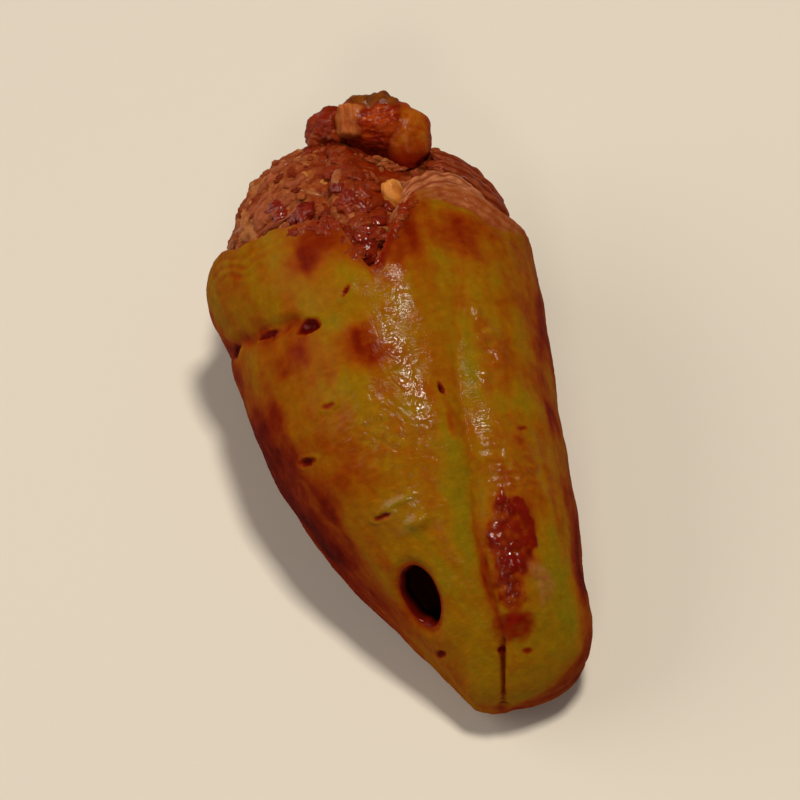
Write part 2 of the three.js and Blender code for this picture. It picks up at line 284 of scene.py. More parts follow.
# --------------------------------------------------------------------------- materials
class Nodes:
    """A short way to write a node material."""

    def __init__(self, name):
        self.m = bpy.data.materials.new(name)
        self.m.use_nodes = True
        self.t = self.m.node_tree
        self.bsdf = self.t.nodes["Principled BSDF"]

    def add(self, kind, values=(), **props):
        n = self.t.nodes.new(kind)
        for k, v in props.items():
            setattr(n, k, v)
        for k, v in dict(values).items():
            self.put(n.inputs[k], v)
        return n

    def put(self, socket, v):
        if isinstance(v, bpy.types.NodeSocket):
            self.t.links.new(v, socket)
        else:
            socket.default_value = v

    def attr(self, name):
        return self.add("ShaderNodeAttribute", attribute_name=name).outputs["Fac"]

    def coords(self):
        return self.add("ShaderNodeTexCoord").outputs["Object"]

    def noise(self, scale, detail=3.0, rough=0.55, stretch=None, distortion=0.0):
        v = self.coords()
        if stretch:
            v = self.add("ShaderNodeMapping", {"Vector": v, "Scale": stretch}).outputs[0]
        return self.add("ShaderNodeTexNoise", {"Vector": v, "Scale": scale, "Detail": detail,
                                               "Roughness": rough, "Distortion": distortion}).outputs["Fac"]

    def math(self, op, a, b=0.0, clamp=False):
        n = self.add("ShaderNodeMath", operation=op, use_clamp=clamp)
        self.put(n.inputs[0], a)
        self.put(n.inputs[1], b)
        return n.outputs[0]

    def ramp(self, x, lo, hi):
        return self.add("ShaderNodeMapRange", {"Value": x, "From Min": lo, "From Max": hi},
                        interpolation_type="SMOOTHSTEP").outputs[0]

    def mix(self, f, a, b, mode="MIX"):
        n = self.add("ShaderNodeMix", data_type="RGBA", blend_type=mode)
        self.put(n.inputs[0], f)
        for socket, v in ((n.inputs[6], a), (n.inputs[7], b)):
            self.put(socket, (*v, 1.0) if isinstance(v, tuple) and len(v) == 3 else v)
        return n.outputs[2]

    def colours(self, x, stops):
        """A colour for each value of x: stops are (value, colour), with values from 0 to 1."""
        n = self.add("ShaderNodeValToRGB", {"Fac": x})
        e = n.color_ramp.elements
        while len(e) < len(stops):
            e.new(0.5)
        for k, (at, c) in enumerate(stops):
            e[k].position, e[k].color = at, (*c, 1.0)
        return n.outputs["Color"]

    def lerp(self, f, a, b):
        n = self.add("ShaderNodeMix", data_type="FLOAT")
        self.put(n.inputs[0], f)
        self.put(n.inputs[2], a)
        self.put(n.inputs[3], b)
        return n.outputs[0]

    def bump(self, height, strength, distance=0.0003, normal=None):
        values = {"Height": height, "Strength": strength, "Distance": distance}
        if normal is not None:
            values["Normal"] = normal
        return self.add("ShaderNodeBump", values).outputs[0]

    def done(self, **sockets):
        for k, v in sockets.items():
            self.put(self.bsdf.inputs[k.replace("_", " ")], (*v, 1.0) if isinstance(v, tuple) and len(v) == 3
                     and k not in ("Subsurface_Radius",) else v)
        return self.m


FILM = [  # from bare yellow-green skin to a dark red film of sauce
    (0.00, (0.185, 0.132, 0.0036)),
    (0.18, (0.232, 0.135, 0.0030)),
    (0.38, (0.272, 0.119, 0.0024)),
    (0.58, (0.274, 0.081, 0.0018)),
    (0.78, (0.248, 0.043, 0.0014)),
    (0.98, (0.180, 0.0135, 0.0010)),
    (1.18, (0.100, 0.0035, 0.0008)),
    (1.35, (0.052, 0.0014, 0.0005)),
]
FILM_END = 1.35


def skin_material():
    n = Nodes("pepper_skin")
    big, mid, fine = n.noise(190, 3), n.noise(560, 4), n.noise(1500, 3)
    film = n.math("ADD", n.attr("film"), n.math("MULTIPLY", n.math("SUBTRACT", mid, 0.5), 0.22))
    film = n.math("ADD", film, n.math("MULTIPLY", n.math("SUBTRACT", big, 0.5), 0.26))
    c = n.colours(n.math("DIVIDE", film, FILM_END), [(at / FILM_END, rgb) for at, rgb in FILM])
    shade = n.colours(n.noise(820, 3), [(0.3, (0.88, 0.86, 0.84)), (0.55, (1.0, 1.0, 1.0)), (0.75, (1.14, 1.16, 1.2))])
    c = n.mix(1.0, c, shade, "MULTIPLY")
    specks = n.math("MULTIPLY", n.ramp(fine, 0.62, 0.74), 0.28)
    c = n.mix(specks, c, (0.2, 0.034, 0.003))
    c = n.mix(n.attr("pale"), c, n.mix(n.ramp(mid, 0.35, 0.65), (0.38, 0.125, 0.046), (0.27, 0.066, 0.020)))
    c = n.mix(n.attr("red"), c, n.mix(n.ramp(mid, 0.35, 0.65), (0.205, 0.0095, 0.0020), (0.155, 0.0045, 0.0010)))
    c = n.mix(n.attr("sauce"), c, n.mix(n.ramp(mid, 0.35, 0.65), (0.130, 0.0016, 0.0008), (0.21, 0.0060, 0.0012)))
    # painted shade: near black in the cleft, the pits, the hole and the inside of the wall
    c = n.mix(n.attr("dark"), c, (0.016, 0.001, 0.0005))
    rough = n.lerp(n.attr("sauce"), n.lerp(mid, 0.36, 0.52), 0.2)
    height = n.math("ADD", n.math("MULTIPLY", n.noise(1500, 3, 0.6), 0.7),
                    n.math("MULTIPLY", n.noise(800, 2, 0.5, (1, 2.4, 1)), 0.8))
    normal = n.bump(height, n.lerp(n.attr("sauce"), 0.34, 0.12), 0.00035)
    return n.done(Base_Color=c, Roughness=rough, Normal=normal, Coat_Normal=normal, Subsurface_Weight=0.1,
                  Subsurface_Radius=(0.6, 0.16, 0.03), Subsurface_Scale=0.003, Specular_IOR_Level=0.0,
                  Coat_Weight=n.lerp(n.attr("wet"), 0.02, 0.47), Coat_Roughness=0.12, Coat_IOR=1.6, IOR=1.4)


def mince_material():
    n = Nodes("mince")
    big, mid, fine = n.noise(260, 3), n.noise(900, 4), n.noise(2300, 3)
    tone = n.math("ADD", n.attr("tone"), n.math("MULTIPLY", n.math("SUBTRACT", mid, 0.5), 0.75))
    tone = n.math("ADD", tone, n.math("MULTIPLY", n.math("SUBTRACT", fine, 0.5), 0.4))
    meat = n.colours(tone, [(0.0, (0.10, 0.006, 0.0015)), (0.3, (0.18, 0.022, 0.005)), (0.55, (0.245, 0.046, 0.011)),
                            (0.8, (0.32, 0.085, 0.022)), (1.0, (0.42, 0.155, 0.05))])
    wet = n.math("ADD", n.attr("sauce"), n.math("MULTIPLY", n.math("SUBTRACT", big, 0.5), 0.5), clamp=True)
    c = n.mix(wet, meat, n.mix(n.ramp(mid, 0.35, 0.65), (0.25, 0.020, 0.0012), (0.185, 0.008, 0.0008)))
    # painted shade: near black between the grains, in the hollow behind the hole, under the lump and in the knot of
    # mince
    c = n.mix(n.attr("dark"), c, (0.03, 0.0015, 0.0006))
    normal = n.bump(n.noise(1700, 4, 0.6), 0.4, 0.0004)
    return n.done(Base_Color=c, Roughness=n.lerp(n.attr("sauce"), 0.5, 0.3), Normal=normal, Coat_Normal=normal,
                  Subsurface_Weight=0.1, Subsurface_Radius=(0.8, 0.16, 0.05), Subsurface_Scale=0.002,
                  Specular_IOR_Level=0.0, Coat_Weight=n.lerp(n.attr("sauce"), 0.1, 0.34), Coat_Roughness=0.14, Coat_IOR=1.6, IOR=1.4)


def plain(name, a, b, rough, scale=700, sss=0.15, coat=0.3, bump=0.3, contrast=(0.35, 0.65)):
    n = Nodes(name)
    mid = n.noise(scale, 4)
    c = n.mix(n.ramp(mid, *contrast), a, b)
    normal = n.bump(n.noise(scale * 2, 3), bump, 0.0003)
    return n.done(Base_Color=c, Roughness=n.lerp(mid, rough * 0.8, rough * 1.2), Normal=normal, Coat_Normal=normal,
                  Subsurface_Weight=sss, Subsurface_Radius=(0.9, 0.3, 0.08), Subsurface_Scale=0.003,
                  Specular_IOR_Level=0.05, Coat_Weight=coat, Coat_Roughness=0.13, IOR=1.4)


# -------------------------------------------------------------------- the pepper's skin
# A place on the skin is an angle round the section in degrees (0 at +X, 90 on top) and a
# distance along from the tip in millimetres.
def frame_at(a_deg, s):
    """A point of the surface with its tangents round and along, and its normal."""
    a = np.array(a_deg * RAD)
    s = np.array(float(s))
    p = outer(a, s)
    n = surface_normal(a, s)
    v = outer(a, s + 0.2) - outer(a, np.maximum(s - 0.2, 0.01))
    v = v - n * (v @ n)
    v /= np.linalg.norm(v)
    return p, np.cross(v, n), v, n


def local(p, a_deg, s, ru, rv, angle=0.0):
    """Elliptical distance of points p from a place on the surface; 1 on the ellipse."""
    o, u, v, n = frame_at(a_deg, s)
    c, k = math.cos(angle * RAD), math.sin(angle * RAD)
    d = p - o
    x, y, z = d @ u, d @ v, d @ n
    x, y = c * x + k * y, c * y - k * x
    return np.sqrt((x / ru) ** 2 + (y / rv) ** 2 + (z / max(ru, rv, 3.0)) ** 4)


def near_line(p, places):
    """Distance of points p from a line through places on the surface."""
    return near_path(p, np.array([frame_at(*q)[0] for q in places]))


def near_path(p, at):
    best = np.full(p.shape[:-1], 99.0)
    for a, b in zip(at[:-1], at[1:]):
        t = np.clip(((p - a) @ (b - a)) / ((b - a) @ (b - a)), 0, 1)
        best = np.minimum(best, np.linalg.norm(p - a - t[..., None] * (b - a), axis=-1))
    return best


# Patches of the sauce film and of bare skin, laid one over the other: place, half sizes in
# degrees and mm, lean (degrees per mm), rise (mm per degree), film value, strength.
FILM_PATCHES = [
    # underside and flanks: dark red film, darkened further as painted shade
    (270, 40, 100, 75, 0, 0, 1.02, 1.0), (188, 34, 26, 60, 0, 0, 1.0, 1.0), (350, 34, 28, 60, 0, 0, 0.95, 1.0),
    (85, 11, 42, 15, 0, 0, 0.36, 0.85),
    # left flank: red film, its darkest patches partly painted shade
    (173, 33, 15, 13, 0, 0.1, 1.22, 1.0), (159, 35, 9, 12, 0, 0, 1.02, 0.9), (147, 29, 9, 3.6, 0, 0, 1.0, 0.95),
    (137, 29, 7, 2.6, 0, 0, 0.86, 0.75), (149, 38, 9, 4, 0, 0, 0.98, 0.8), (135, 37, 9, 5, 0, 0, 0.68, 0.75),
    (155, 43.5, 14, 3, 0, 0.12, 1.1, 0.85), (162, 48.8, 15, 3.2, 0, 0.17, 0.72, 0.95), (133, 48, 9, 3.2, 0, 0.1, 1.02, 0.9),
    (118, 45, 9, 4, 0, 0, 0.66, 0.8), (113, 40, 9, 3, 0, 0, 0.26, 0.85), (127, 50.4, 7, 1.8, 0, 0.08, 0.9, 0.7), (135, 52.8, 17, 1.7, 0, 0.14, 0.86, 0.75),
    # left lobe
    (123, 31, 8, 5, 0, 0, 0.97, 0.85), (107, 33, 12, 6, 0, 0, 0.40, 0.9), (92, 23, 7.0, 9.5, -1.0, 0, 0.06, 1.0),
    (102, 45.4, 9, 3.6, 0, 0, 1.02, 0.9), (86, 44.5, 4.5, 5.5, 0, 0, 0.62, 0.7),
    # middle, and the right lobe
    (76, 52, 8, 5, 0, 0, 0.52, 0.8), (75, 44, 6, 4.5, 0, 0, 0.52, 0.8), (66, 42, 3.0, 6.5, -0.4, 0, 0.12, 0.75),
    (53, 42.5, 7, 4.2, 0, 0, 0.62, 0.9), (51, 52, 8, 3.3, 0, 0, 0.26, 0.8), (42, 54, 9, 5, 0, 0, 0.66, 0.6),
    (40, 46.5, 8, 4.5, 0, 0, 0.42, 0.75), (23, 50, 12, 7, 0, 0, 1.0, 0.95), (56, 25, 13, 6.5, 0, 0, 0.64, 0.9),
    (39, 26, 9, 7, 0, 0, 0.62, 0.9), (23, 22, 11, 8, 0, 0, 1.0, 0.95), (51, 35, 14, 2.3, 0, -0.03, 0.22, 0.9),
    (26, 35.5, 9, 2.4, 0, 0, 1.08, 0.95), (31, 40, 8, 2.6, 0, 0, 0.8, 0.8), (15, 39, 8, 5, 0, 0, 0.62, 0.85),
    # towards the tip; the dark red patches on its sides are partly painted shade
    (50, 9, 13, 6, 0, 0, 0.04, 0.95), (70, 5, 12, 3.6, 0, 0, 0.22, 0.85), (24, 14, 11, 5.5, 0, -0.1, 1.14, 0.95),
    (18, 4, 12, 4, 0, 0, 0.98, 0.9), (132, 4.5, 17, 4.5, 0, 0, 0.30, 0.95), (117, 9, 9, 5, 0, 0, 0.34, 0.85),
    (173, 3, 12, 4, 0, 0, 1.08, 0.9), (166, 12, 9, 5, 0, 0, 0.8, 0.9), (173, 18, 9, 4, 0, 0, 1.0, 0.85),
    (115, 15, 5, 5, 0, 0, 0.24, 0.85), (144, 18.6, 7, 1.7, 0, 0, 0.74, 0.7), (141, 23, 9, 4, 0, 0, 0.58, 0.8),
    (97, 12, 2.8, 5.5, -1.1, 0, 0.78, 0.9), (79.5, 33, 2.3, 3.6, -0.3, 0, 0.78, 0.85),
    (72, 17, 13, 4.8, -1.5, 0, 1.0, 0.9), (84, 11.5, 8, 2.6, 0, 0, 0.8, 0.7),
    (200, 6, 60, 7, 0, 0, 0.5, 0.9), (132, 1.6, 40, 2.2, 0, 0, 0.34, 0.9),
    # towards the mouth
    (149, 59, 19, 3.2, 0, 0.05, 0.46, 0.9), (130, 62, 10, 4, 0, 0, 0.45, 0.85), (159, 66, 10, 4.5, 0, 0, 0.44, 0.8),
    (113.5, 61.5, 6, 3.6, 0, 0, 0.97, 1.0), (110, 54, 10, 2.6, 0, 0, 0.46, 0.85), (112, 50, 5, 1.6, 0, 0, 0.16, 0.6),
    (136, 66, 12, 3, 0, 0, 0.6, 0.7), (108, 65.5, 9, 3.4, 0, 0, 0.98, 0.95), (104, 61.0, 6, 3.0, 0, 0, 0.98, 1.0), (98, 58.5, 4, 2.6, 0, 0, 1.0, 1.0),
    (86.5, 60.5, 5, 4.5, 0, 0, 0.98, 1.0), (68, 61.5, 5, 3, 0, 0, 0.72, 0.8),
    (80, 60, 6, 5.5, -0.8, 0, 0.86, 0.95), (70.5, 55, 2.4, 4.5, 0, 0, 0.36, 0.7), (77, 66, 7, 3.2, 0, 0, 0.88, 0.9), (58, 61.5, 7.5, 4.4, 0, 0, 0.96, 0.95),
    (45, 62, 7, 4, 0, 0, 0.7, 0.75), (31, 60, 10, 5, 0, 0, 0.72, 0.85), (90, 53.8, 4, 1.8, 0, 0, 0.8, 0.7),
]
WRINKLES_LEFT = [(109, 33, 14, 5, 0.8), (92, 39, 5, 8, 0.9), (118, 42, 10, 4, 0.4), (88, 51, 4, 4, 0.4), (97, 46, 7, 3, 0.8)]
WRINKLES_RIGHT = [(58, 26, 15, 6.5, 1.0), (64, 11.4, 8, 2.4, 0.9), (58, 43, 6, 5, 0.9), (48, 45, 7, 4, 0.5), (60, 50, 5, 3, 0.5), (60, 60, 8, 4, 0.3)]
# How deep the crease in the furrow is, by the distance from the tip.
CREASE = ((0, 0.0), (4, 0.1), (8, 0.26), (14, 0.34), (20, 0.36), (26, 0.3), (33, 0.22), (42, 0.12), (52, 0.0))
CLEFT = np.array([(2.0, -45.6, 18.0), (1.7, -46.6, 16.5), (1.4, -48.1, 14.4), (1.1, -49.6, 12.1), (0.8, -50.8, 9.1), (0.5, -51.2, 6.4),
                  (0.3, -50.8, 3.5)])
PITS = [  # place, half sizes mm, turn deg, depth mm, painted shade inside, film value inside, curl of the edge
    (80.0, 37.3, 0.42, 0.95, 12, 0.5, 0.55, 1.1, 0.1),
    (104.5, 53.8, 1.0, 0.34, 42, 0.3, 0.15, 1.15, 0.5),
    (122, 51.3, 1.5, 1.0, -12, 0.35, 0.15, 1.24, 0.45),
    (142, 54.5, 1.7, 0.42, -16, 0.25, 0.1, 1.12, 0.5),
    (166, 57.8, 1.5, 1.0, -18, 0.4, 0.3, 1.25, 0.2),
    (143.5, 34.2, 1.3, 0.55, -15, 0.4, 0.35, 1.15, 0.4),
    (127.5, 23.1, 1.15, 0.36, -12, 0.35, 0.35, 1.05, 0.6),
    (160.5, 7.4, 1.1, 0.5, 0, 0.35, 0.35, 1.15, 0.1),
    (124, 38.9, 0.85, 0.4, -10, 0.15, 0.0, 0.98, 0.45),
    (51, 31.3, 0.9, 0.3, 0, 0.15, 0.1, 1.05, 0.2),
    (85.5, 3.6, 0.7, 0.4, 0, 0.1, 0.1, 0.95, 0.0),
    (109.5, 4.6, 0.5, 0.45, 0, 0.2, 0.35, 1.2, 0.0),
]
# Sauce on the skin: where each smear goes, its half width in mm and how thick it is.
SMEARS = [
    ([(65.0, 21.0), (62.0, 19.4), (60.3, 17.6), (62.5, 15.8)], 1.0, 1.0),
    ([(73, 13.6), (78, 13.3), (82, 13.5)], 1.35, 1.0), ([(71.5, 22.6), (71, 21.0)], 0.7, 0.85), ([(67, 19.4), (70, 20.0)], 0.6, 0.85),
    ([(66, 16.4), (70, 15.4), (75, 15.2)], 0.8, 0.85), ([(84.5, 17.2), (82.5, 16.4)], 0.8, 0.85), ([(87, 12.6), (89, 10.2)], 0.5, 0.85),
    ([(93, 56.2), (90.5, 57.6)], 0.7, 0.9), ([(122, 51.6), (124, 51.4)], 0.7, 0.9), ([(144, 54.9), (139, 54.1)], 0.4, 0.8),
]
# Where the skin is wet enough to glint: place, half sizes in degrees and mm, amount.
WET = [
    (86.8, 53.4, 2.6, 4.0, 0.4), (88.6, 49, 3, 3.5, 0.55), (93, 46.6, 4.5, 1.8, 0.7), (90, 43, 3.5, 2.6, 0.9), (89.5, 39.5, 2.8, 2.6, 0.85),
    (91.5, 36, 3.2, 3.0, 0.9), (94, 31.5, 4, 3.4, 0.9), (108, 33.5, 12, 4.5, 0.45), (119, 33, 8, 4, 0.3), (118, 22.3, 12, 2.2, 0.6), (115, 21.6, 6, 1.6, 1.1), (116, 24.1, 8, 1.1, 1.1),
    (60.5, 49.5, 4.5, 2.6, 0.6), (54.5, 46, 4.5, 2.4, 1.0), (58.0, 42, 4.5, 3.4, 1.1), (62, 38.5, 3.2, 2.6, 0.7), (67, 31, 4, 2.6, 1.1),
    (56, 27, 13, 5, 0.75), (64, 11.4, 6, 2.0, 0.8), (70, 24.4, 5, 2.0, 0.6), (66, 11, 8, 2.6, 0.35), (90, 60, 9, 3, 0.2), (58, 58, 9, 4, 0.3),
    (72, 17, 9, 4.5, 0.6), (82, 16.2, 4.5, 1.6, 1.1), (81, 13.8, 4.5, 1.4, 1.1), (85.5, 12.2, 4.5, 1.4, 1.1), (88.5, 10.0, 5, 1.7, 1.1),
]


def painted(a, s, base, patches):
    f = base
    for at, where, da, ds, lean, rise, value, strength in patches:
        d = turn(a - at * RAD) / RAD
        x = (d - lean * (s - where)) / da
        y = (s - where - rise * d) / ds
        f = f + (value - f) * strength * np.exp(-((x * x + y * y) ** 1.5))
    return f


def spots(a, s, places):
    total = 0
    for at, where, da, ds, amount in places:
        total = total + amount * np.exp(-((turn(a - at * RAD) / (da * RAD)) ** 2 + ((s - where) / ds) ** 2) ** 1.4)
    return np.clip(total, 0, 1.1)


def hole_distance(p):
    d = p - HOLE
    rho = np.hypot(d @ HOLE_U / (HOLE_ALONG / 2), d @ HOLE_V / (HOLE_ACROSS / 2))
    return np.where(np.abs(d @ HOLE_N) < 7, rho, 9.0)


def flap(a):
    return bell(turn(a - 47 * RAD), 23 * RAD)


def ragged(a):
    p = np.stack([18 * np.cos(a), 18 * np.sin(a), np.zeros_like(a)], -1)
    return 0.4 * noise(p / 2.2, 301) + 0.22 * noise(p / 0.9, 302)


def edge_of(a):
    """Where the visible rim is, uneven as it was cut."""
    return rim(a) + ragged(a)


def worms(w, size, width, seed):
    """Narrow curled ridges, as on blistered skin."""
    return np.clip(1 - np.abs(noise(w / size, seed)) / width, 0, 1)


def skin(a, s):
    """Height over the smooth surface and the masks for colour, at places a, s."""
    p = outer(a, s)
    wide = 18 * np.clip(s / 13, 0, 1) ** 0.6
    cyl = np.stack([wide * np.cos(a), wide * np.sin(a), s], -1)
    edge = edge_of(a) - s
    warp_a = a + (4.0 * noise(cyl / 5.5, 11) + 1.6 * noise(cyl / 1.8, 13)) * RAD
    warp_s = s + 1.3 * noise(cyl / 5.0, 12) + 0.45 * noise(cyl / 1.7, 14)
    film = painted(warp_a, warp_s, 0.46, FILM_PATCHES)
    film = film + 0.10 * fbm(cyl / 2.6, 3, 21) + 0.03 * noise(cyl / 0.9, 24)
    streak = 0.16 * noise(cyl / np.array([2.3, 2.3, 11.0]), 25) + 0.07 * noise(cyl / np.array([1.0, 1.0, 5.0]), 26)
    film = film + streak * smooth(s, 5, 16)

    ragged_p = p + 0.75 * np.stack([noise(p / 1.7, k) for k in (51, 53, 54)], -1) + 0.35 * np.stack([noise(p / 0.7, k) for k in (58, 60, 67)], -1)
    spread = local(ragged_p, 73, 16.4, 2.9, 5.2, 0)
    trail = local(ragged_p, 87, 10.6, 1.9, 3.0, 0)
    bare = 1 - 0.75 * bell(local(ragged_p, 79, 20.2, 1.5, 1.8), 1.0)
    film = film + (0.98 + 0.3 * noise(p / 1.1, 68) - film) * bare * np.maximum(smooth(1.4 - spread, 0, 0.6), 0.85 * smooth(1.4 - trail, 0, 0.7))
    red = 0.75 * bare * smooth(1.1 - spread, 0, 0.6) * smooth(noise(p / 1.3, 72), -0.1, 0.5)
    pool = 0
    for places, width, thick in SMEARS:
        pool = np.maximum(pool, thick * bell(near_line(ragged_p, places), width))
    pool = pool * (0.9 + 0.5 * noise(p / 1.2, 69))
    film = film + (1.14 - film) * 0.8 * smooth(pool, 0.1, 0.8)
    sauce = 0.8 * smooth(pool, 0.35, 1.0)
    sauce_t = (0.2 + 0.13 * noise(cyl / 0.9, 55)) * smooth(pool, 0.3, 0.9) + 0.07 * noise(cyl / 0.45, 56) * sauce
    flat = local(ragged_p, 92, 6.5, 2.8, 2.6)
    red = np.maximum(red, smooth(1.4 - flat, 0, 0.75) * (0.9 + 0.2 * noise(p / 1.6, 70)))

    # soft unevenness, so that no part is machined
    height = 0.36 * noise(cyl / 9.0, 31) + 0.17 * noise(cyl / 4.2, 32) + 0.05 * noise(cyl / 2.0, 33)
    # crinkles
    w = cyl + 0.5 * np.stack([noise(cyl / 2.0, k) for k in (41, 42, 43)], -1)
    left = spots(warp_a, warp_s, WRINKLES_LEFT)
    right = spots(warp_a, warp_s, WRINKLES_RIGHT) * (1 - 0.85 * spots(a, s, [(66.5, 31.2, 4.5, 3.0, 1.0)]))
    calm = 1 - 0.9 * sauce
    curls = worms(w, np.array([1.6, 1.6, 1.0]), 0.42, 44) + 0.6 * worms(w, np.array([0.95, 0.95, 0.75]), 0.45, 45)
    bars = worms(w, np.array([3.0, 3.0, 0.9]), 0.5, 46) + 0.6 * worms(w, np.array([1.3, 1.3, 0.7]), 0.45, 47)
    height = height + calm * (0.21 * left * (curls - 0.5) + 0.23 * right * (bars - 0.5))
    # blisters with a ring round each
    f1, _, who = cells(w / 1.5, 64)
    rings = bell(f1 - 0.3, 0.1) * (who > 0.45)
    blistered = spots(a, s, [(109, 33, 13, 4.6, 1.0), (56, 27, 9, 4, 0.6), (118, 36, 6, 3, 0.7)])
    height = height + 0.13 * rings * blistered * calm
    film = film - 0.1 * rings * blistered
    bump = local(p, 52.6, 42.0, 1.35, 2.3) + 0.12 * noise(cyl / 1.0, 85)
    height = height + 0.62 * bell(bump, 0.85)
    film = film + (0.74 - film) * 0.85 * bell(bump, 1.0)
    for at, where, ru, rv, up in ((55.2, 45.7, 1.0, 0.5, 0.4), (51.6, 45.4, 0.8, 0.6, 0.3), (60.5, 39.0, 0.7, 0.9, 0.3), (58.5, 48.6, 0.6, 1.2, 0.3), (44.5, 45.6, 1.2, 0.8, 0.25)):
        small = local(p, at, where, ru, rv) + 0.15 * noise(cyl / 0.7, 86)
        height = height + up * bell(small, 0.9)
        film = film - 0.15 * bell(small, 0.9)
    height = height + 0.05 * calm * (worms(w, np.array([1.8, 1.8, 1.2]), 0.5, 48) - 0.4)
    straight = np.sin(2 * math.pi * (s + 0.25 * noise(cyl / 2.0, 61)) / 0.95)
    height = height + 0.13 * calm * straight * spots(a, s, [(66.5, 31.2, 3.5, 2.2, 1.0), (68, 24.0, 4, 3, 0.5)])
    film = film + 0.16 * (curls - 0.7) * left + 0.16 * (bars - 0.6) * right
    chain = spots(a, s, [(82, 16.2, 5, 2.0, 1.0), (81, 13.8, 5, 1.6, 1.0), (85.5, 12.2, 5, 1.6, 1.0), (89, 10.2, 6, 1.8, 1.0), (74, 20, 8, 3, 0.6)])
    height = height + 0.12 * chain * noise(p / 1.0, 73) + 0.03 * chain * noise(p / 0.5, 74)

    # the crease in the furrow, its film darkened: sauce lying in it and painted shade
    off = turn(a - np.interp(s, FURROW_S, FURROW_AT) * RAD) * section(s, 2) * 0.92 + 0.25 * noise(cyl / 2.5, 62)
    deep = np.interp(s, *zip(*CREASE))
    height = height - deep * (bell(off, 0.75) - 0.15 * bell(off + 1.8, 1.2))
    film = film + 0.6 * deep * bell(off - 0.3, 0.9)
    # the thin cleft over the tip, with painted shade in it
    cleft = near_path(p, CLEFT) + 0.08 * noise(cyl / 1.2, 65)
    height = height - 0.34 * bell(cleft, 0.3) + 0.1 * bell(cleft - 1.0, 0.6)
    dark = 0.7 * bell(cleft, 0.17)
    film = film + 0.45 * bell(cleft, 0.4)

    for at, where, ru, rv, angle, deep, pit_shade, value, curl in PITS:
        d = local(p, at, where, ru, rv, angle) + 0.4 * noise(cyl / 1.2, 52) + 0.16 * noise(cyl / 0.55, 57)
        height = height - deep * np.exp(-(np.clip(d, 0, 9) ** 2.4)) + 0.5 * curl * bell(d - 1.55, 0.42)
        # painted shade down in each pit
        dark = np.maximum(dark, pit_shade * smooth(1.1 - d, -0.2, 0.9))
        m = smooth(1.55 - d, 0, 0.9)
        film = film + (value - film) * m - 0.25 * curl * bell(d - 1.7, 0.4)
    # a puckered fold above the hole
    for at, where, ru, rv, angle, up in ((115, 20.8, 2.0, 0.95, -6, 0.85), (117.5, 23.8, 2.9, 0.5, -8, 0.36)):
        d = local(p, at, where, ru, rv, angle)
        height = height + up * np.exp(-(d**2))
        film = film - 0.2 * np.exp(-(d**2))
    # the sunk crease over the left shoulder
    d = s - (53 + 9.2 * turn(a - 130 * RAD)) + 0.8 * noise(cyl / 3.0, 71)
    where = smooth(np.abs(turn(a - 148 * RAD)), 36 * RAD, 20 * RAD)
    height = height - 0.34 * bell(d, 1.0) * where + 0.2 * (bell(d - 2.0, 1.0) + bell(d + 2.0, 1.0)) * where
    film = film + 0.3 * bell(d, 1.0) * where
    # the lip curls up, and its cut edge is pale flesh
    curl = flap(a)
    height = height + (0.2 + 0.7 * curl) * bell(edge, 1.4) - 0.4 * curl * bell(edge - 3.2, 1.1)
    beside = smooth(edge, 0.6, 2.0) * smooth(7.5 - edge, 0, 3.0) * bell(turn(a - 143 * RAD), 19 * RAD)
    fold = np.sin(2 * math.pi * (edge + 0.7 * noise(cyl / 3.5, 84)) / 1.9)
    height = height + 0.1 * beside * fold
    film = film - 0.1 * beside * fold
    band = 0.3 + 3.5 * bell(turn(a - 52 * RAD), 22 * RAD)
    stripes = 0.5 + 0.5 * np.sin(2 * math.pi * (edge + 0.5 * noise(cyl / 3.0, 82) + 0.15 * noise(cyl / 1.0, 83)) / 1.15)
    height = height + 0.24 * curl * (stripes - 0.5) * smooth(5.0 - edge, 0, 1)
    pale = np.clip(smooth(band - edge + 0.6 * noise(cyl / 1.5, 81), 0, 0.7), 0, 1) * (0.8 + 0.2 * curl)
    pale = pale * (1 - sauce) * (0.05 + 0.95 * smooth(np.abs(turn(a - 90 * RAD)), 13 * RAD, 27 * RAD))
    film = film + (0.9 - film) * 0.8 * pale
    pale = pale * (0.25 + 0.75 * stripes)
    # a pale greyish patch on the wrinkles near the tip: a painted sheen
    painted_sheen = spots(warp_a, warp_s, [(64.2, 11.4, 5.0, 1.7, 1.0), (69.0, 9.8, 3.0, 1.2, 0.6)])
    film = film + (0.12 - film) * 0.75 * painted_sheen
    pale = np.maximum(pale, painted_sheen * (0.5 + 0.4 * (bars - 0.5)) * (1 - sauce))
    # the cut edge by the tear is drowned in sauce
    lip = bell(edge + 0.5 * noise(cyl / 1.4, 75), 2.3) * bell(turn(a - 84 * RAD), 12 * RAD)
    red = np.maximum(red, 0.8 * smooth(lip, 0.25, 0.8))
    film = film + (0.92 - film) * 0.8 * smooth(lip, 0.1, 0.6)
    # round the hole the skin is drawn in and browned
    rho = hole_distance(p)
    height = height - 0.45 * bell(rho - 1.0, 0.2) + 0.16 * bell(rho - 1.45, 0.25)
    film = film + (0.95 - film) * 0.85 * smooth(1.2 - rho, 0, 0.16)
    height = height + sauce_t
    wet = 0.04 + spots(warp_a, warp_s, WET) * (0.65 + 0.6 * noise(cyl / 1.6, 66))
    wet = np.clip(np.maximum(wet * (1 - 0.7 * np.clip(dark, 0, 1)), 0.85 * sauce), 0, 1)
    return np.clip(height, -2.2, 1.0), dict(film=np.clip(film, 0, FILM_END), sauce=0.95 * sauce, pale=pale,
                                            dark=np.clip(dark, 0, 1), wet=wet, red=np.clip(red, 0, 1))


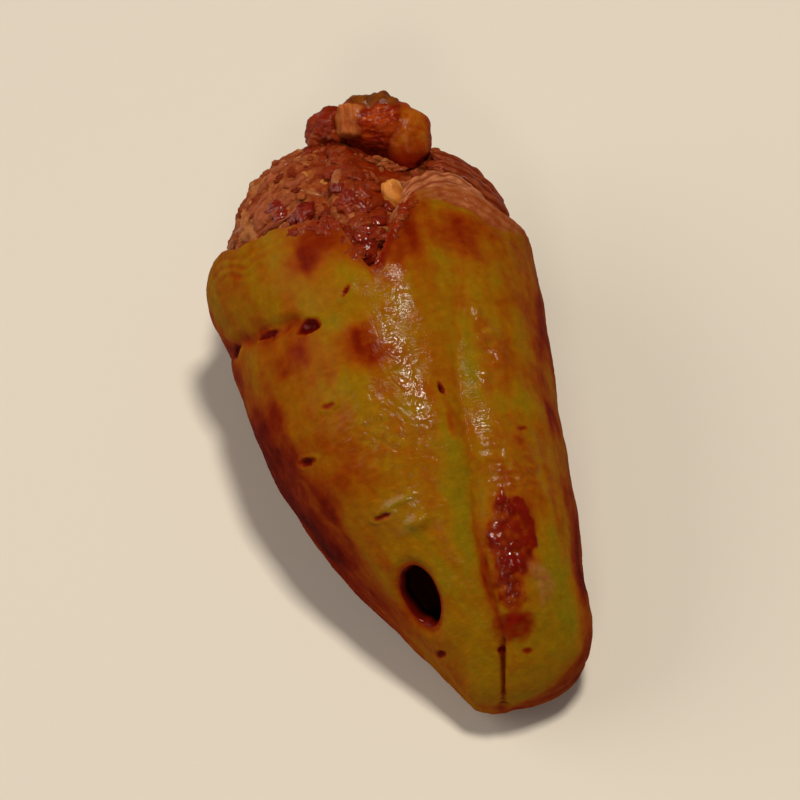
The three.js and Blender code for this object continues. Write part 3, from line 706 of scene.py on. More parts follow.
def wall():
    top, under = 294, 84
    a = np.concatenate([np.linspace(3, 177, top, endpoint=False), np.linspace(177, 363, under, endpoint=False)]) * RAD
    na, ns, inner_rows = len(a), 238, 15
    w = (np.arange(1, ns + 1) / ns) ** 1.15
    A, W = np.meshgrid(a, w)
    S = edge_of(A) * W
    height, fields = skin(A, S)
    P = outer(A, S) + surface_normal(A, S) * height[..., None]
    P[..., 2] = np.maximum(P[..., 2], 0.0)
    verts = [P.reshape(-1, 3)]
    masks = {k: [v.ravel()] for k, v in fields.items()}

    def add(v, **values):
        v = np.asarray(v, float).reshape(-1, 3)
        start = sum(len(x) for x in verts)
        verts.append(v)
        for k in masks:
            value = values.get(k, 0.0)
            masks[k].append(np.broadcast_to(np.asarray(value, float).ravel(), (len(v),)))
        return start

    faces = grid_faces(ns, na)
    # lip: a rounded edge from the skin to the inside
    lip_rows = []
    e = edge_of(a)
    first, inside = P[-1], inset(a, e, WALL)
    out = outer(a, e + 0.3) - outer(a, e - 0.3)
    out /= np.linalg.norm(out, axis=-1, keepdims=True)
    swell = 0.45 + 0.85 * flap(a) + 0.25 * noise(first / 2.0, 101)
    lip = 7
    for k in range(1, lip):
        t = k / lip
        lip_rows.append(first * (1 - t) + inside * t + out * (swell * math.sin(math.pi * t) ** 0.7)[:, None])
    lip_rows = np.array(lip_rows)
    lip_rows = lip_rows + 0.16 * noise(lip_rows / 0.9, 102)[..., None] * out
    lip_rows[..., 2] = np.maximum(lip_rows[..., 2], 0)
    n0 = add(lip_rows, pale=0.9, film=0.7, wet=0.5)
    ring = np.arange(na)
    nxt = (ring + 1) % na
    last = (ns - 1) * na
    joins = [np.stack([last + ring, n0 + ring, n0 + nxt, last + nxt], -1)]
    joins.append(grid_faces(lip - 1, na, n0))
    # the inside of the wall, painted dark as shade away from the rim, as is its point inside the tip
    wi = np.linspace(1, 0.03, inner_rows) ** 1.1
    AI, WI = np.meshgrid(a, wi)
    inner = inset(AI, edge_of(AI) * WI, WALL)
    n1 = add(inner, pale=0.6, film=0.9, dark=smooth(1 - WI, 0.0, 0.1) * 0.85)
    end = n0 + (lip - 2) * na
    joins.append(np.stack([end + ring, n1 + ring, n1 + nxt, end + nxt], -1))
    inner_faces = grid_faces(inner_rows, na, n1)
    tip_out = add(outer(np.array([0.0]), np.array([0.0])), film=0.5)
    tip_in = add(inset(np.array([0.0]), np.array([0.3]), WALL), dark=1.0)
    tris = [np.stack([np.full(na, tip_out), ring, nxt], -1),
            np.stack([np.full(na, tip_in), n1 + (inner_rows - 1) * na + nxt, n1 + (inner_rows - 1) * na + ring], -1)]
    V = np.concatenate(verts)

    def cut(f, limit):
        """Takes the faces over the hole out of f and returns what is left and the loop round it."""
        gone = hole_distance(V[f].mean(1)) < limit
        left, taken = f[~gone], f[gone]
        count = {}
        for q in taken:
            for x, y in zip(q, np.roll(q, -1)):
                count[(x, y)] = 1
        follow = {x: y for (x, y) in count if (y, x) not in count}
        start = next(iter(follow))
        loop = [start]
        while follow[loop[-1]] != start:
            loop.append(follow[loop[-1]])
        return left, np.array(loop)

    def around(v):
        d = v - HOLE
        return np.arctan2(d @ HOLE_V / (HOLE_ACROSS / 2), d @ HOLE_U / (HOLE_ALONG / 2))

    def ellipse(angle, size):
        size = np.broadcast_to(size, angle.shape)
        return (HOLE + np.outer(np.cos(angle) * HOLE_ALONG / 2 * size, HOLE_U)
                + np.outer(np.sin(angle) * HOLE_ACROSS / 2 * size, HOLE_V))

    def snap(loop, size):
        angle = np.unwrap(around(V[loop]))
        whole = 2 * math.pi * np.sign(angle[-1] - angle[0])
        for _ in range(8):
            angle = (np.append(angle[-1] - whole, angle[:-1]) + angle + np.append(angle[1:], angle[0] + whole)) / 3
        angle = (angle + math.pi) % (2 * math.pi) - math.pi
        depth = (V[loop] - HOLE) @ HOLE_N
        V[loop] = ellipse(angle, size) + np.outer(depth, HOLE_N)
        return angle, depth

    faces, loop = cut(faces, 1.0)
    angle, depth = snap(loop, 1.0)
    inner_faces, loop_in = cut(inner_faces, 1.25)
    angle_in, _ = snap(loop_in, 1.2)
    previous, tube, extra = loop, [], []
    wob = 0.05 * np.sin(3 * angle + 0.5) + 0.03 * np.sin(7 * angle)
    # down into the hole its wall is painted darker and darker: painted shade
    for drop, size in ((0.12, 0.965), (0.4, 0.93), (0.9, 0.90), (1.6, 0.90), (2.3, 0.94)):
        q = ellipse(angle, size + wob * min(1, drop)) + np.outer(depth - drop, HOLE_N)
        start = len(V) + sum(len(x) for x in extra)
        extra.append(q)
        for k in masks:
            masks[k].append(np.full(len(q), {"film": 1.1, "dark": min(1.0, 0.3 + 0.45 * drop), "wet": 0.35 if drop < 0.3 else 0.0, "red": 0.8}.get(k, 0.0)))
        now = start + np.arange(len(q))
        tube.append(np.stack([previous, now, np.roll(now, -1), np.roll(previous, -1)], -1)[:, ::-1])
        previous = now
    V = np.concatenate([V] + extra)
    # join the tube's end to the loop in the inner face, by angle
    order_out, order_in = previous[np.argsort(angle)], loop_in[np.argsort(angle_in)]
    ang_out, ang_in = np.sort(angle), np.sort(angle_in)
    i = j = 0
    sew = []
    while i < len(order_out) or j < len(order_in):
        a_next = ang_out[i + 1] if i + 1 < len(ang_out) else ang_out[0] + 2 * math.pi
        b_next = ang_in[j + 1] if j + 1 < len(ang_in) else ang_in[0] + 2 * math.pi
        x, y = order_out[i % len(order_out)], order_in[j % len(order_in)]
        if (a_next <= b_next and i < len(order_out)) or j >= len(order_in):
            sew.append((x, order_out[(i + 1) % len(order_out)], y))
            i += 1
        else:
            sew.append((x, order_in[(j + 1) % len(order_in)], y))
            j += 1
    masks = {k: np.concatenate(v) for k, v in masks.items()}
    return mesh_object("pepper_skin", V, [faces, inner_faces] + joins + tube + tris + [np.array(sew)[:, ::-1]], masks,
                       skin_material(), "pepper_wall")


# ------------------------------------------------------------------------- the filling
def fill_point(a, s):
    """The filling lies under the wall, and comes up nearly level with the skin in the tear."""
    up = np.clip((s - 56.5) / 5, 0, 1) * bell(turn(a - (TEAR_AT - 1) * RAD), TEAR_WIDTH * RAD)
    return inset(a, s, WALL + 2 * GAP - 2.3 * up * smooth(s - rim(a), 0.2, 1.8))


_ring_a = (np.arange(48) + 0.5) / 48 * 2 * math.pi
MIDDLE = fill_point(_ring_a, brim(_ring_a)).mean(0)
REACH = HEAP_END - MIDDLE


def heap_point(a, v):
    start = fill_point(a, brim(a))
    t = (v * math.pi / 2)[..., None]
    p = start + REACH * np.sin(t) + (MIDDLE - start) * (1 - np.cos(t))
    out = start - MIDDLE
    out[..., 1] = 0
    out /= np.linalg.norm(out, axis=-1, keepdims=True)
    p = p + out * ((HEAP_SWELL + HEAP_SIDES * out[..., :1] ** 2) * np.sin(2 * t))
    near = bell(np.linalg.norm(p - HEAP_DIP, axis=-1), DIP_HALF)
    return p + DIP_WAY * (DIP_DEPTH * near)[..., None]


def sauce_on_heap(p):
    """Where the heap is drowned in red sauce: down its middle, from the lump into the tear."""
    x = p[..., 0] + 3.2 - 0.10 * (p[..., 1] - 18)
    core = bell(x, 5.0) * smooth(p[..., 2], 24, 33) * smooth(p[..., 1], 38, 30)
    return np.clip(core * 0.95 + 0.6 * noise(p / 2.2, 111) * (core > 0.03) * core**0.5, 0, 1)


def filling():
    na = 320
    a = (np.arange(na) + 0.5) / na * 2 * math.pi
    low = np.concatenate([np.linspace(FILL_START, 26, 34), np.linspace(27.5, 54, 12)])
    A, L = np.meshgrid(a, low)
    body = fill_point(A, L)
    # the hollow behind the hole
    d = body - HOLE
    rho = np.hypot(d @ HOLE_U / (HOLE_ALONG * 0.56), d @ HOLE_V / (HOLE_ACROSS * 0.6))
    near = (np.abs(d @ HOLE_N) < 7) & (rho < 1)
    body = body - (6.0 * np.sqrt(np.clip(1 - rho**2, 0, 1)) * near)[..., None] * HOLE_N
    A2, T = np.meshgrid(a, np.linspace(0, 1, 48)[1:])
    S2 = 54 + (brim(A2) - 54) * T
    top = fill_point(A2, S2)
    A3, H = np.meshgrid(a, (np.arange(1, 160) / 160) ** 0.93)
    mound = heap_point(A3, H)
    G = np.concatenate([body, top, mound])
    N = row_normals(G)
    # only the part outside the wall is worked up
    show = np.concatenate([np.zeros_like(A), smooth(S2 - rim(A2), -0.2, 1.0), smooth(H, 0.0, 0.03)])
    sauce = sauce_on_heap(G) * show
    w = G + 0.55 * np.stack([noise(G / 1.7, k) for k in (127, 128, 129)], -1)
    f1, f2, who = cells(w / 2.0, 121)
    g1, g2, who2 = cells(w / 1.0 + 5, 122)
    bumps = 0.62 * (0.6 - f1) + 0.26 * (0.55 - g1) + 0.5 * noise(G / 4.5, 123) + 0.26 * fbm(G / 1.3, 2, 130)
    c1, _, _ = cells(w / 2.7 + 3, 119)
    calm = 0.34 * noise(G / 3.6, 124) + 0.16 * noise(G / 1.3, 125) + 0.42 * (0.6 - c1) + 0.1
    h = show * (bumps * (1 - sauce) + calm * sauce) - 0.05
    G = G + N * np.clip(h, -1.1, 0.95)[..., None]
    G[..., 2] = np.maximum(G[..., 2], 0.4)
    tone = np.clip(0.52 + 0.5 * (who - 0.5) + 0.3 * (who2 - 0.5) + 0.2 * noise(G / 5, 126), 0, 1)
    # paler on the left flank of the heap and at a spot on it: painted light falling on that side
    tone = np.clip(tone + 0.3 * bell(np.linalg.norm(G - (-23, 18, 33), axis=-1), 7) + 0.12 * smooth(-G[..., 0], 10, 16), 0, 1)
    # painted shade in the hollow behind the hole and between the grains of the heap
    hollow = np.zeros(G.shape[:-1])
    hollow[: len(low)] = smooth(1.9 - rho, 0, 0.4) * (np.abs(d @ HOLE_N) < 9)
    dark = np.clip(smooth(f1 + 0.5 * g1, 0.85, 1.25) * 0.35 * show * (1 - 0.7 * sauce) + hollow, 0, 1)
    # painted shadow in the hollow in front of the lump and under it
    d = (G - LUMP) @ LUMP_AXES.T
    flat_d = np.stack([d[..., 0], d[..., 1], 0 * d[..., 0]], -1) + 0.4 * noise(G / 1.2, 118)[..., None]
    under = np.array([(-8.2, -1.6, 0), (-5.4, -1.4, 0), (-3.2, -2.3, 0), (-0.8, -3.0, 0), (1.6, -3.3, 0), (3.2, -5.2, 0), (5.4, -5.8, 0), (7.0, -4.4, 0)])
    dark = np.maximum(dark, 0.85 * bell(near_path(flat_d, under), 1.15) * show * (G[..., 1] > 20))
    first = G[0].mean(0) - (0, 2.0, 0)
    last = G[-1].mean(0)
    V = np.concatenate([G.reshape(-1, 3), [first, last]])
    ring = np.arange(na)
    nxt = (ring + 1) % na
    n = len(G)
    tris = np.concatenate([np.stack([np.full(na, n * na), ring, nxt], -1),
                           np.stack([np.full(na, n * na + 1), (n - 1) * na + nxt, (n - 1) * na + ring], -1)])

    def pad(x):
        return np.concatenate([x.ravel(), [0.3, 0.3]])

    ob = mesh_object("filling", V, [grid_faces(n, na), tris],
                     dict(tone=pad(tone), sauce=pad(sauce), dark=pad(dark)), MINCE, "filling")
    return ob, G, row_normals(G), show, sauce


def ico(level):
    """Points and faces of a ball."""
    b = bmesh.new()
    bmesh.ops.create_icosphere(b, subdivisions=level, radius=1.0)
    v = np.array([x.co[:] for x in b.verts])
    f = np.array([[x.index for x in y.verts] for y in b.faces])
    b.free()
    return v, f


BALLS = {k: ico(k) for k in (1, 2, 3, 4, 5, 6)}


def basis(n, rng, along=None):
    """A turned set of axes whose last is n."""
    n = n / np.linalg.norm(n)
    t = rng.normal(size=3) if along is None else np.asarray(along, float)
    t = t - n * (t @ n)
    t /= np.linalg.norm(t)
    return np.stack([t, np.cross(n, t), n])


def scatter(name, picks, material, seed, masks=(), rough=(0.34, 0.2)):
    """Small irregular bits joined in one mesh. picks: place, normal, radii, sink, level, masks, along."""
    rng = np.random.default_rng(seed)
    verts, faces, start = [], [], 0
    values = {k: [] for k in masks}
    for place, normal, radii, sink, level, vals, *along in picks:
        v, f = BALLS[level]
        m = basis(normal, rng, along[0] if along else None)
        off = rng.uniform(-50, 50, 3)
        k = 1 + rough[0] * noise(v * 1.4 + off, seed) + rough[1] * noise(v * 3.1 + off, seed + 1)
        q = (v * k[:, None] * radii) @ m
        verts.append(q + place - m[2] * radii[2] * sink)
        faces.append(f + start)
        start += len(v)
        for key in masks:
            values[key].append(np.full(len(v), vals.get(key, 0.0)))
    return mesh_object(name, np.concatenate(verts), [np.concatenate(faces)],
                       {k: np.concatenate(v) for k, v in values.items()}, material)


# --------------------------------------------------------------------------- the object
MINCE = mince_material()
skin_ob = wall()
filling_ob, G, GN, show, heap_sauce = filling()

rng = np.random.default_rng(7)
flat_p, flat_n, flat_sauce = G.reshape(-1, 3), GN.reshape(-1, 3), heap_sauce.ravel()
du = np.linalg.norm(np.roll(G, -1, 1) - G, axis=-1)
dv = np.linalg.norm(np.gradient(G, axis=0), axis=-1)
weight = (du * dv * show * (1 - 0.85 * heap_sauce)).ravel()
weight[flat_p[:, 2] < 2.0] = 0
weight /= weight.sum()


def on_heap(x, y, z):
    """The point of the heap nearest to a place, with its normal."""
    i = int(np.linalg.norm(flat_p - (x, y, z), axis=1).argmin())
    return flat_p[i], flat_n[i]


def seen(r, u, up=0.0):
    """The point of the heap behind a place of the photograph, in mm right of and above the lump's middle."""
    d = (flat_p - LUMP) @ LUMP_AXES.T
    cost = np.hypot(d[:, 0] - r, d[:, 1] - u) + 99.0 * (flat_n @ LUMP_AXES[2] < 0.1)
    i = int(cost.argmin())
    return flat_p[i] + flat_n[i] * up, flat_n[i]


picks = []
for k, i in enumerate(rng.choice(len(flat_p), 620, replace=False, p=weight)):
    large = k < 140
    r = rng.uniform(0.65, 1.05) if large else rng.uniform(0.3, 0.6)
    radii = r * np.array([rng.uniform(1.0, 1.6), rng.uniform(0.7, 1.0), rng.uniform(0.5, 0.75)])
    picks.append((flat_p[i], flat_n[i], radii, rng.uniform(0.3, 0.8), 3 if large else 2,
                  {"tone": float(rng.uniform(0.3, 0.75) if flat_p[i, 0] > -9 else rng.choice([0.2, 0.7, 0.95])), "sauce": float(0.5 * flat_sauce[i])}))
bits = scatter("mince_bits", picks, MINCE, 31, ("tone", "sauce", "dark"), (0.4, 0.22))

picks = []
for k in range(60):  # spilled over the edge of the skin by the tear
    at = float(np.clip(rng.normal(105, 6.0), 98, 116)) * RAD
    s = float(edge_of(np.array(at))) - 0.2 - abs(rng.normal(0, 0.7))
    r = rng.uniform(0.35, 1.15)
    picks.append((outer(np.array(at), np.array(s)), surface_normal(np.array(at), np.array(s)),
                  r * np.array([rng.uniform(1.0, 1.7), 0.95, 0.5]), 0.45, 4,
                  {"tone": float(rng.uniform(0.1, 0.6)), "sauce": float(rng.uniform(0.3, 0.9))}))
for k in range(34):  # and along the other side of it
    at = float(np.clip(rng.normal(82, 6.0), 72, 91)) * RAD
    s = float(edge_of(np.array(at))) - 0.1 - abs(rng.normal(0, 0.6))
    r = rng.uniform(0.3, 0.8)
    picks.append((outer(np.array(at), np.array(s)), surface_normal(np.array(at), np.array(s)),
                  r * np.array([rng.uniform(1.0, 1.7), 0.95, 0.5]), 0.45, 3,
                  {"tone": float(rng.uniform(0.2, 0.7)), "sauce": float(rng.uniform(0.2, 0.9))}))
for k in range(70):  # lumps in the sauce of the mouth
    hp, hn = on_heap(rng.normal(-5.5, 3.4), rng.uniform(9, 30), 44)
    r = rng.uniform(0.5, 1.3)
    picks.append((hp, hn, r * np.array([rng.uniform(1.0, 1.6), 1.0, 0.6]), 0.35, 3,
                  {"tone": float(rng.uniform(0.25, 0.6)), "sauce": float(rng.uniform(0.1, 0.8))}))
for k in range(26):  # beside the garlic
    hp, hn = on_heap(rng.normal(5.5, 2.0), rng.normal(24.0, 2.6), 40)
    r = rng.uniform(0.5, 1.2)
    picks.append((hp, hn, r * np.array([rng.uniform(1.2, 2.0), 0.8, 0.6]), 0.3, 3,
                  {"tone": float(rng.uniform(0.35, 0.8)), "sauce": float(rng.uniform(0.0, 0.4))}, (1.0, -0.4, 0.0)))
crumbs = scatter("sauce_crumbs", picks, MINCE, 37, ("tone", "sauce", "dark"), (0.4, 0.16))

# -------------------------------------------------------------------- the lump on top

def lump():
    """A folded chunk: a tall round end, a cut face on the other and a ridge along the top."""
    v, f = BALLS[6]

    def ball(p, c, r):
        k = np.linalg.norm((p - c) / r, axis=-1)
        return (k - 1) * min(r)

    def block(p, c, h, rnd):
        q = np.abs(p - c) - (np.array(h) - rnd)
        return np.linalg.norm(np.maximum(q, 0), axis=-1) + np.minimum(q.max(-1), 0) - rnd

    def parts(p):
        return np.stack([
            ball(p, (4.3, -1.1, -0.4), (3.6, 5.0, 3.5)),
            ball(p, (-0.2, 0.7, -0.6), (4.6, 3.5, 3.7)),
            block(p, (-1.5, 3.6, -0.9), (3.5, 1.9, 2.4), 0.8),
            block(p, (-5.0, 1.6, -0.6), (1.9, 2.4, 2.9), 0.5),
            ball(p, (-0.4, -2.0, -2.6), (6.6, 3.6, 2.6)),
            ball(p, (0.5, 5.2, -0.8), (0.9, 1.1, 1.2)),
        ], -1)

    def merged(p):
        return -0.8 * np.log(np.exp(-parts(p) / 0.8).sum(-1)) + 0.3

    radius = np.full(len(v), 1.0)
    for r in np.linspace(1.0, 9.5, 120):
        radius = np.where(merged(v * r) < 0, r, radius)
    for _ in range(2):
        total, count = np.zeros(len(v)), np.zeros(len(v))
        for x, y in ((0, 1), (1, 2), (2, 0)):
            np.add.at(total, f[:, x], radius[f[:, y]])
            np.add.at(count, f[:, x], 1)
        radius = 0.4 * radius + 0.6 * total / count
    q = v * radius[:, None]
    d = parts(q)
    share = np.exp(-d / 0.4)
    share /= share.sum(-1, keepdims=True)
    blob, middle, cap, left, low, peak = share.T
    near = np.sort(d, -1)
    seam = np.clip(1 - (near[:, 1] - near[:, 0]) / 0.55, 0, 1) * smooth(q[:, 2], -2, 0.5)
    h = 0.62 * noise(q / 2.9, 131) + 0.2 * noise(q / 1.2, 132) - 0.16 * seam
    h = h + 0.14 * middle * worms(q, np.array([2.8, 0.8, 0.8]), 0.5, 133) + 0.12 * left * np.sin(6.0 * q[:, 0] + 0.8)
    h = h + 0.2 * cap * worms(q, np.array([1.8, 0.7, 0.7]), 0.5, 134)
    q = q + v * h[:, None]
    # painted shade: under the lump's lower side, in the seams between its parts and on its low part
    under = smooth(-q[:, 1], 0.5, 2.4) * smooth(2.2 - q[:, 0], 0, 2.0)
    masks = dict(left=smooth(left, 0.35, 0.75), cap=np.clip(smooth(cap + peak, 0.35, 0.8), 0, 1), blob=smooth(blob, 0.3, 0.8),
                 edge=np.clip(np.maximum(smooth(q[:, 0], 6.2, 7.9), smooth(-q[:, 1] + 0.5 * noise(q / 1.2, 136), 1.2, 4.4)), 0, 1),
                 painted_lump_shade=np.clip(0.85 * under + 0.4 * seam + 0.9 * low, 0, 1))
    m = Nodes("lump")
    mid, fine = m.noise(650, 4), m.noise(1600, 3)
    streaks = m.noise(700, 4, 0.6, (0.5, 1.6, 1.6))
    c = m.mix(m.ramp(streaks, 0.38, 0.62), (0.20, 0.010, 0.0008), (0.33, 0.042, 0.003))
    c = m.mix(m.attr("blob"), c, m.mix(m.ramp(mid, 0.35, 0.65), (0.34, 0.085, 0.0045), (0.265, 0.038, 0.0016)))
    c = m.mix(m.attr("edge"), c, (0.19, 0.010, 0.0010))
    c = m.mix(m.attr("cap"), c, m.mix(m.ramp(mid, 0.35, 0.65), (0.105, 0.025, 0.0030), (0.20, 0.050, 0.0045)))
    c = m.mix(m.attr("left"), c, m.mix(m.ramp(m.noise(800, 3, 0.5, (2.6, 0.6, 0.6)), 0.3, 0.7), (0.31, 0.058, 0.009), (0.42, 0.125, 0.030)))
    # painted shade, a dark maroon
    c = m.mix(m.attr("painted_lump_shade"), c, m.mix(m.ramp(fine, 0.35, 0.65), (0.07, 0.002, 0.001), (0.14, 0.008, 0.0015)))
    normal = m.bump(m.noise(1300, 4), 0.35, 0.0004)
    mat = m.done(Base_Color=c, Roughness=m.lerp(mid, 0.3, 0.45), Normal=normal, Coat_Normal=normal,
                 Subsurface_Weight=0.2, Subsurface_Radius=(1.0, 0.25, 0.05), Subsurface_Scale=0.003,
                 Specular_IOR_Level=0.0, Coat_Weight=0.14, Coat_Roughness=0.16, Coat_IOR=1.6, IOR=1.4)
    return mesh_object("top_lump", q @ LUMP_AXES + LUMP, [f], masks, mat, "top_lump")


lump_ob = lump()

# a cream bit of garlic beside the tear, with crumbs of it
garlic = plain("garlic", (0.62, 0.235, 0.048), (0.42, 0.125, 0.018), 0.35, 420, 0.2, 0.3, 0.25, (0.42, 0.68))
gp, gn = on_heap(1.5, 19.4, 39.9)
picks = [(gp + gn * 0.7, gn + (0.1, -0.5, 0.0), np.array([2.5, 1.9, 1.5]), 0.15, 4, {}, (0.6, -1.0, 0.0)),
         (gp + (1.9, -2.2, 0.2), gn, np.array([1.2, 0.8, 0.7]), 0.1, 3, {}, (0.6, -1.0, 0.0))]
for x, y, z in ((-12.5, 27, 34), (-9.0, 24.5, 37)):
    hp, hn = on_heap(x, y, z)
    picks.append((hp, hn, np.array([0.9, 0.65, 0.55]), 0.1, 2, {}))
cream = scatter("garlic_bits", picks, garlic, 41, (), (0.16, 0.08))

# grains of rice, half sunk in the mince
rice = plain("rice", (0.34, 0.11, 0.035), (0.27, 0.065, 0.018), 0.3, 900, 0.2, 0.4, 0.15)
picks = []
for i in rng.choice(len(flat_p), 16, replace=False, p=weight):
    picks.append((flat_p[i], flat_n[i], np.array([2.1, 0.65, 0.6]) * rng.uniform(0.75, 1.0), 0.45, 3, {}))
hp, hn = on_heap(-7.8, 23.1, 40)
picks.append((hp, hn, np.array([1.9, 0.9, 0.8]), -0.2, 3, {}, (0.3, 1, 0)))
rice_ob = scatter("rice_grains", picks, rice, 43, (), (0.15, 0.08))

# glossy dark red bits of tomato on the mince, in the tear, and heaped beside the lump
tomato = plain("tomato", (0.13, 0.0035, 0.001), (0.21, 0.016, 0.0035), 0.2, 800, 0.1, 0.7, 0.3)
picks = []
for r, u, size in ((-15.5, -12.2, 1.5), (-14.9, -13.4, 1.0), (-11.4, -13.0, 1.6), (-12.6, -13.6, 1.0), (-4.6, -10.6, 1.4), (-6.0, -9.6, 1.1), (-2.6, -12.4, 1.0),
                   (1.0, -12.0, 0.9), (-0.6, -14.6, 1.2), (-2.0, -15.8, 1.0), (-2.6, -17.4, 1.2), (-1.6, -18.8, 1.2), (-1.8, -20.2, 1.0), (-5.0, -16.4, 0.9)):
    hp, hn = seen(r, u, 0.1)
    picks.append((hp, hn, size * np.array([1.3, 1.0, 0.7]), 0.35, 4, {}))
jewels = scatter("tomato_bits", picks, tomato, 47, (), (0.24, 0.1))

def by_lump(r, u, c):
    return LUMP + np.array([r, u, c]) @ LUMP_AXES


def knot():
    """A knot of redder mince beside the lump."""
    v, f = BALLS[5]
    balls = ((0.7, 2.0, 0.0, 2.1), (-0.9, 0.2, -0.2, 2.2), (1.0, -0.6, 0.1, 2.4), (-1.3, -1.7, -0.8, 1.8), (0.6, 0.9, -1.6, 2.6))

    def merged(p):
        d = np.stack([np.linalg.norm(p - b[:3], axis=-1) - b[3] for b in balls], -1)
        return -0.5 * np.log(np.exp(-d / 0.5).sum(-1)) + 0.25

    radius = np.full(len(v), 0.5)
    for r in np.linspace(0.5, 5.5, 100):
        radius = np.where(merged(v * r) < 0, r, radius)
    q = v * radius[:, None]
    w = q + 0.5 * np.stack([noise(q / 1.3, k) for k in (141, 142, 143)], -1)
    f1, _, who = cells(w / np.array([1.9, 1.2, 1.4]), 144)
    folds = worms(w, np.array([2.4, 0.9, 1.2]), 0.5, 145)
    q = q + v * (0.45 * noise(q / 1.8, 146) + 0.5 * (0.5 - f1) + 0.12 * folds + 0.12 * noise(q / 0.6, 147))[:, None]
    # painted shade in the gaps between the grains, and darker towards the upper end
    masks = dict(tone=np.clip(0.12 + 0.45 * smooth(who, 0.55, 0.95) + 0.35 * folds * smooth(-q[:, 1], -1.0, 1.0), 0, 1),
                 sauce=np.clip(0.75 - 0.55 * who + 0.3 * smooth(q[:, 1], 1, 3), 0, 1),
                 dark=np.clip(0.7 * smooth(f1, 0.55, 0.85) + 0.4 * smooth(q[:, 1], 2.4, 3.8), 0, 0.8))
    return mesh_object("red_mince", q @ LUMP_AXES + by_lump(-8.4, 0.3, -2.2), [f], masks, MINCE)


knot_ob = knot()
picks = []
for k in range(22):
    r, u = rng.uniform(-11.5, -6.5), -2.6 - 0.9 * abs(rng.normal(0, 1.0))
    hp, hn = seen(r, u)
    picks.append((hp, hn, rng.uniform(0.4, 0.9) * np.array([1.6, 1.0, 0.7]), 0.35, 3,
                  {"tone": float(rng.uniform(0.05, 0.7)), "sauce": float(rng.uniform(0, 0.6))}))
# pale strands under the lump
for r, u in ((-0.6, -4.2), (0.8, -4.6), (2.2, -4.9), (3.2, -5.4), (1.6, -5.7), (0.2, -5.2), (2.9, -6.1), (-1.6, -4.8)):
    hp, hn = seen(r, u, 0.3)
    picks.append((hp, hn, np.array([1.2, 0.5, 0.45]), 0.1, 3, {"tone": float(rng.uniform(0.5, 0.95)), "sauce": 0.1}, (1, 0.05, 0)))
cluster = scatter("red_crumbs", picks, MINCE, 53, ("tone", "sauce", "dark"), (0.24, 0.1))


# ------------------------------------------------------- skin rolled back beside the flap
def strip(name, paths, material, seed):
    """Flat ridged rolls along paths of (x, y, z, half width, thickness), laid on the heap."""
    verts, faces, start, groove_shade, brown = [], [], 0, [], []
    for path in paths:
        path = np.array(path, float)
        thin = path[:, 3].max() < 0.85
        n, m = 90, 28
        t = np.linspace(0, 1, n)
        knots = np.linspace(0, 1, len(path))
        c = np.stack([np.interp(t, knots, path[:, k]) for k in range(5)], -1)
        for _ in range(6):
            c[1:-1] = (c[:-2] + c[1:-1] + c[2:]) / 3
        near = [on_heap(*x[:3]) for x in c]
        normal, base = np.array([x[1] for x in near]), np.array([x[0] for x in near])
        for _ in range(14):
            normal[1:-1] = (normal[:-2] + normal[1:-1] + normal[2:]) / 3
            base[1:-1] = (base[:-2] + base[1:-1] + base[2:]) / 3
        normal /= np.linalg.norm(normal, axis=1, keepdims=True)
        end = np.sqrt(np.clip(1 - (0.997 * (2 * t - 1)) ** 6, 0, 1))
        gap = np.clip(((c[:, :3] - base) * normal).sum(-1), 0, 4)
        c[:, :3] -= normal * (gap * (1 - end**0.7))[:, None]
        gap = gap * end**0.7
        tangent = np.gradient(c[:, :3], axis=0)
        tangent /= np.linalg.norm(tangent, axis=1, keepdims=True)
        side = np.cross(tangent, normal)
        side /= np.linalg.norm(side, axis=1, keepdims=True)
        phi = np.arange(m) / m * 2 * math.pi
        P, T = np.meshgrid(phi, t)
        c[:, 3] *= 1 + (0.5 if thin else 0.2) * noise(c[:, :3] / 1.3, seed + 5)
        ridge = np.cos((2 if thin else 5) * P + 1.5 * np.sin(7 * T))
        k = (1 + (0.05 if thin else 0.13) * ridge) * end[:, None]
        low = smooth(-np.sin(P), 0, 1)  # the lower side goes down into what carries it
        q = (c[:, None, :3] + side[:, None] * (np.cos(P) * c[:, 3:4] * k * (1 + (0.5 if thin else 1.0) * low))[..., None]
             + normal[:, None] * (np.sin(P) * c[:, 4:5] * k - low * (gap[:, None] + 0.35))[..., None])
        q = q + 0.28 * noise(q / 1.6, seed)[..., None] * normal[:, None]
        verts.append(q.reshape(-1, 3))
        faces.append(grid_faces(n, m, start))
        groove_shade.append((0.5 - 0.5 * ridge).ravel() * (0.6 if thin else 1.0))
        brown.append(np.full(n * m + 2, 1.0 if thin else 0.0))
        ends = []
        for row in (0, n - 1):
            verts.append(q[row].mean(0)[None])
            groove_shade.append(np.array([0.5]))
            ends.append(start + n * m + (1 if row else 0))
        i = np.arange(m)
        k = (i + 1) % m
        faces.append(np.stack([np.full(m, ends[0]), start + i, start + k], -1))
        faces.append(np.stack([np.full(m, ends[1]), start + (n - 1) * m + k, start + (n - 1) * m + i], -1))
        start += n * m + 2
    return mesh_object(name, np.concatenate(verts), faces, dict(groove_shade=np.concatenate(groove_shade), brown=np.concatenate(brown)), material)


